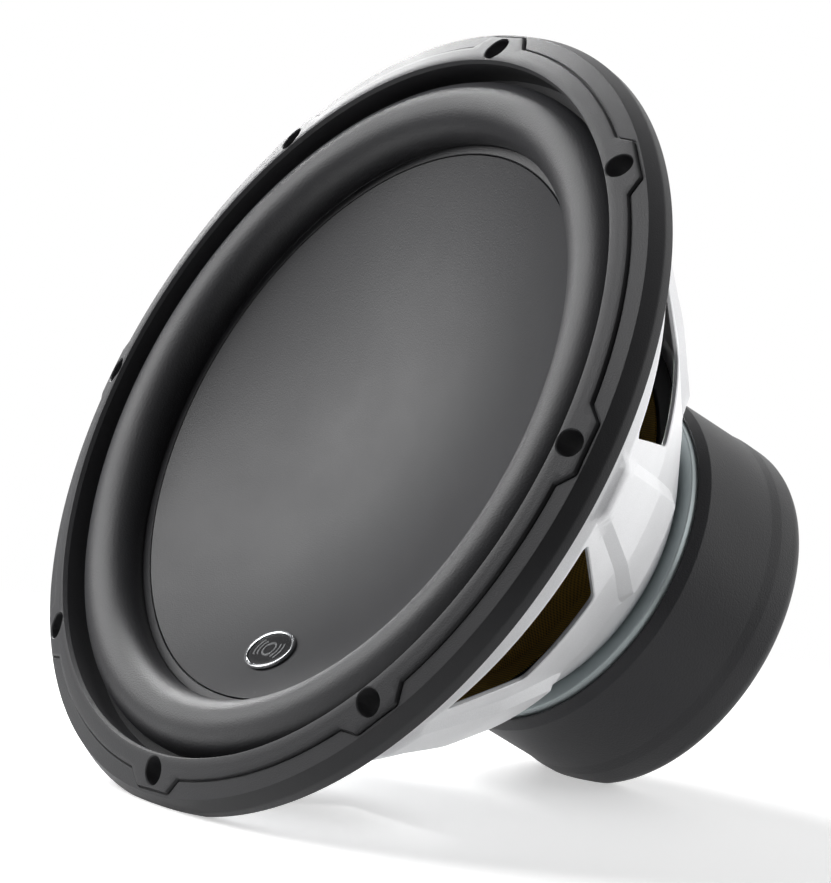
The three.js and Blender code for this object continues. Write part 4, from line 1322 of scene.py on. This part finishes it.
class SUBWOOFER_OT_basket(bpy.types.Operator):
    """Build the pressed basket and its screws"""

    bl_idname = "subwoofer.basket"
    bl_label = "Basket"

    def execute(self, context):
        build_basket()
        return {"FINISHED"}


class SUBWOOFER_OT_ring(bpy.types.Operator):
    """Build the trim ring"""

    bl_idname = "subwoofer.ring"
    bl_label = "Trim Ring"

    def execute(self, context):
        build_ring()
        return {"FINISHED"}


class SUBWOOFER_OT_cone(bpy.types.Operator):
    """Build the dished cone and the cone behind it"""

    bl_idname = "subwoofer.cone"
    bl_label = "Cone"

    def execute(self, context):
        build_cone()
        return {"FINISHED"}


class SUBWOOFER_OT_coil(bpy.types.Operator):
    """Build the former, winding and collar"""

    bl_idname = "subwoofer.coil"
    bl_label = "Voice Coil"

    def execute(self, context):
        build_coil()
        return {"FINISHED"}


class SUBWOOFER_OT_suspension(bpy.types.Operator):
    """Build the surround, the spider and its seat"""

    bl_idname = "subwoofer.suspension"
    bl_label = "Suspension"

    def execute(self, context):
        build_surround()
        build_spider()
        return {"FINISHED"}


class SUBWOOFER_OT_badge(bpy.types.Operator):
    """Build the oval badge"""

    bl_idname = "subwoofer.badge"
    bl_label = "Badge"

    def execute(self, context):
        build_badge()
        return {"FINISHED"}


class SUBWOOFER_OT_terminal(bpy.types.Operator):
    """Build the wire terminal and the leads"""

    bl_idname = "subwoofer.terminal"
    bl_label = "Wire Terminal"

    def execute(self, context):
        build_terminal()
        return {"FINISHED"}


class SUBWOOFER_OT_stage(bpy.types.Operator):
    """Set up the camera, softboxes, paper and room"""

    bl_idname = "subwoofer.stage"
    bl_label = "Studio"

    def execute(self, context):
        build_stage()
        return {"FINISHED"}


STEPS = ("motor", "basket", "ring", "cone", "coil", "suspension", "badge", "terminal", "stage")


class SUBWOOFER_PT_panel(bpy.types.Panel):
    """Sizes, colours and steps in the sidebar"""

    bl_idname = "SUBWOOFER_PT_panel"
    bl_label = "Subwoofer"
    bl_space_type = "VIEW_3D"
    bl_region_type = "UI"
    bl_category = "Subwoofer"

    def draw(self, context):
        scene = context.scene
        for group in (scene.subwoofer_sizes, scene.subwoofer_colours, scene.subwoofer_studio):
            column = self.layout.column(align=True)
            for name in group.__annotations__:
                column.prop(group, name)
        column = self.layout.column(align=True)
        for step in STEPS:
            column.operator(f"subwoofer.{step}")


CLASSES = (
    SubwooferSizes, SubwooferColours, SubwooferStudio,
    SUBWOOFER_OT_motor, SUBWOOFER_OT_basket, SUBWOOFER_OT_ring, SUBWOOFER_OT_cone, SUBWOOFER_OT_coil,
    SUBWOOFER_OT_suspension, SUBWOOFER_OT_badge, SUBWOOFER_OT_terminal, SUBWOOFER_OT_stage,
    SUBWOOFER_PT_panel,
)


def register():
    for kind in CLASSES:
        bpy.utils.register_class(kind)
    bpy.types.Scene.subwoofer_sizes = PointerProperty(type=SubwooferSizes)
    bpy.types.Scene.subwoofer_colours = PointerProperty(type=SubwooferColours)
    bpy.types.Scene.subwoofer_studio = PointerProperty(type=SubwooferStudio)


def unregister():
    del bpy.types.Scene.subwoofer_studio
    del bpy.types.Scene.subwoofer_colours
    del bpy.types.Scene.subwoofer_sizes
    for kind in reversed(CLASSES):
        bpy.utils.unregister_class(kind)


def main():
    register()
    for step in STEPS:
        getattr(bpy.ops.subwoofer, step)()


if __name__ == "__main__":
    main()
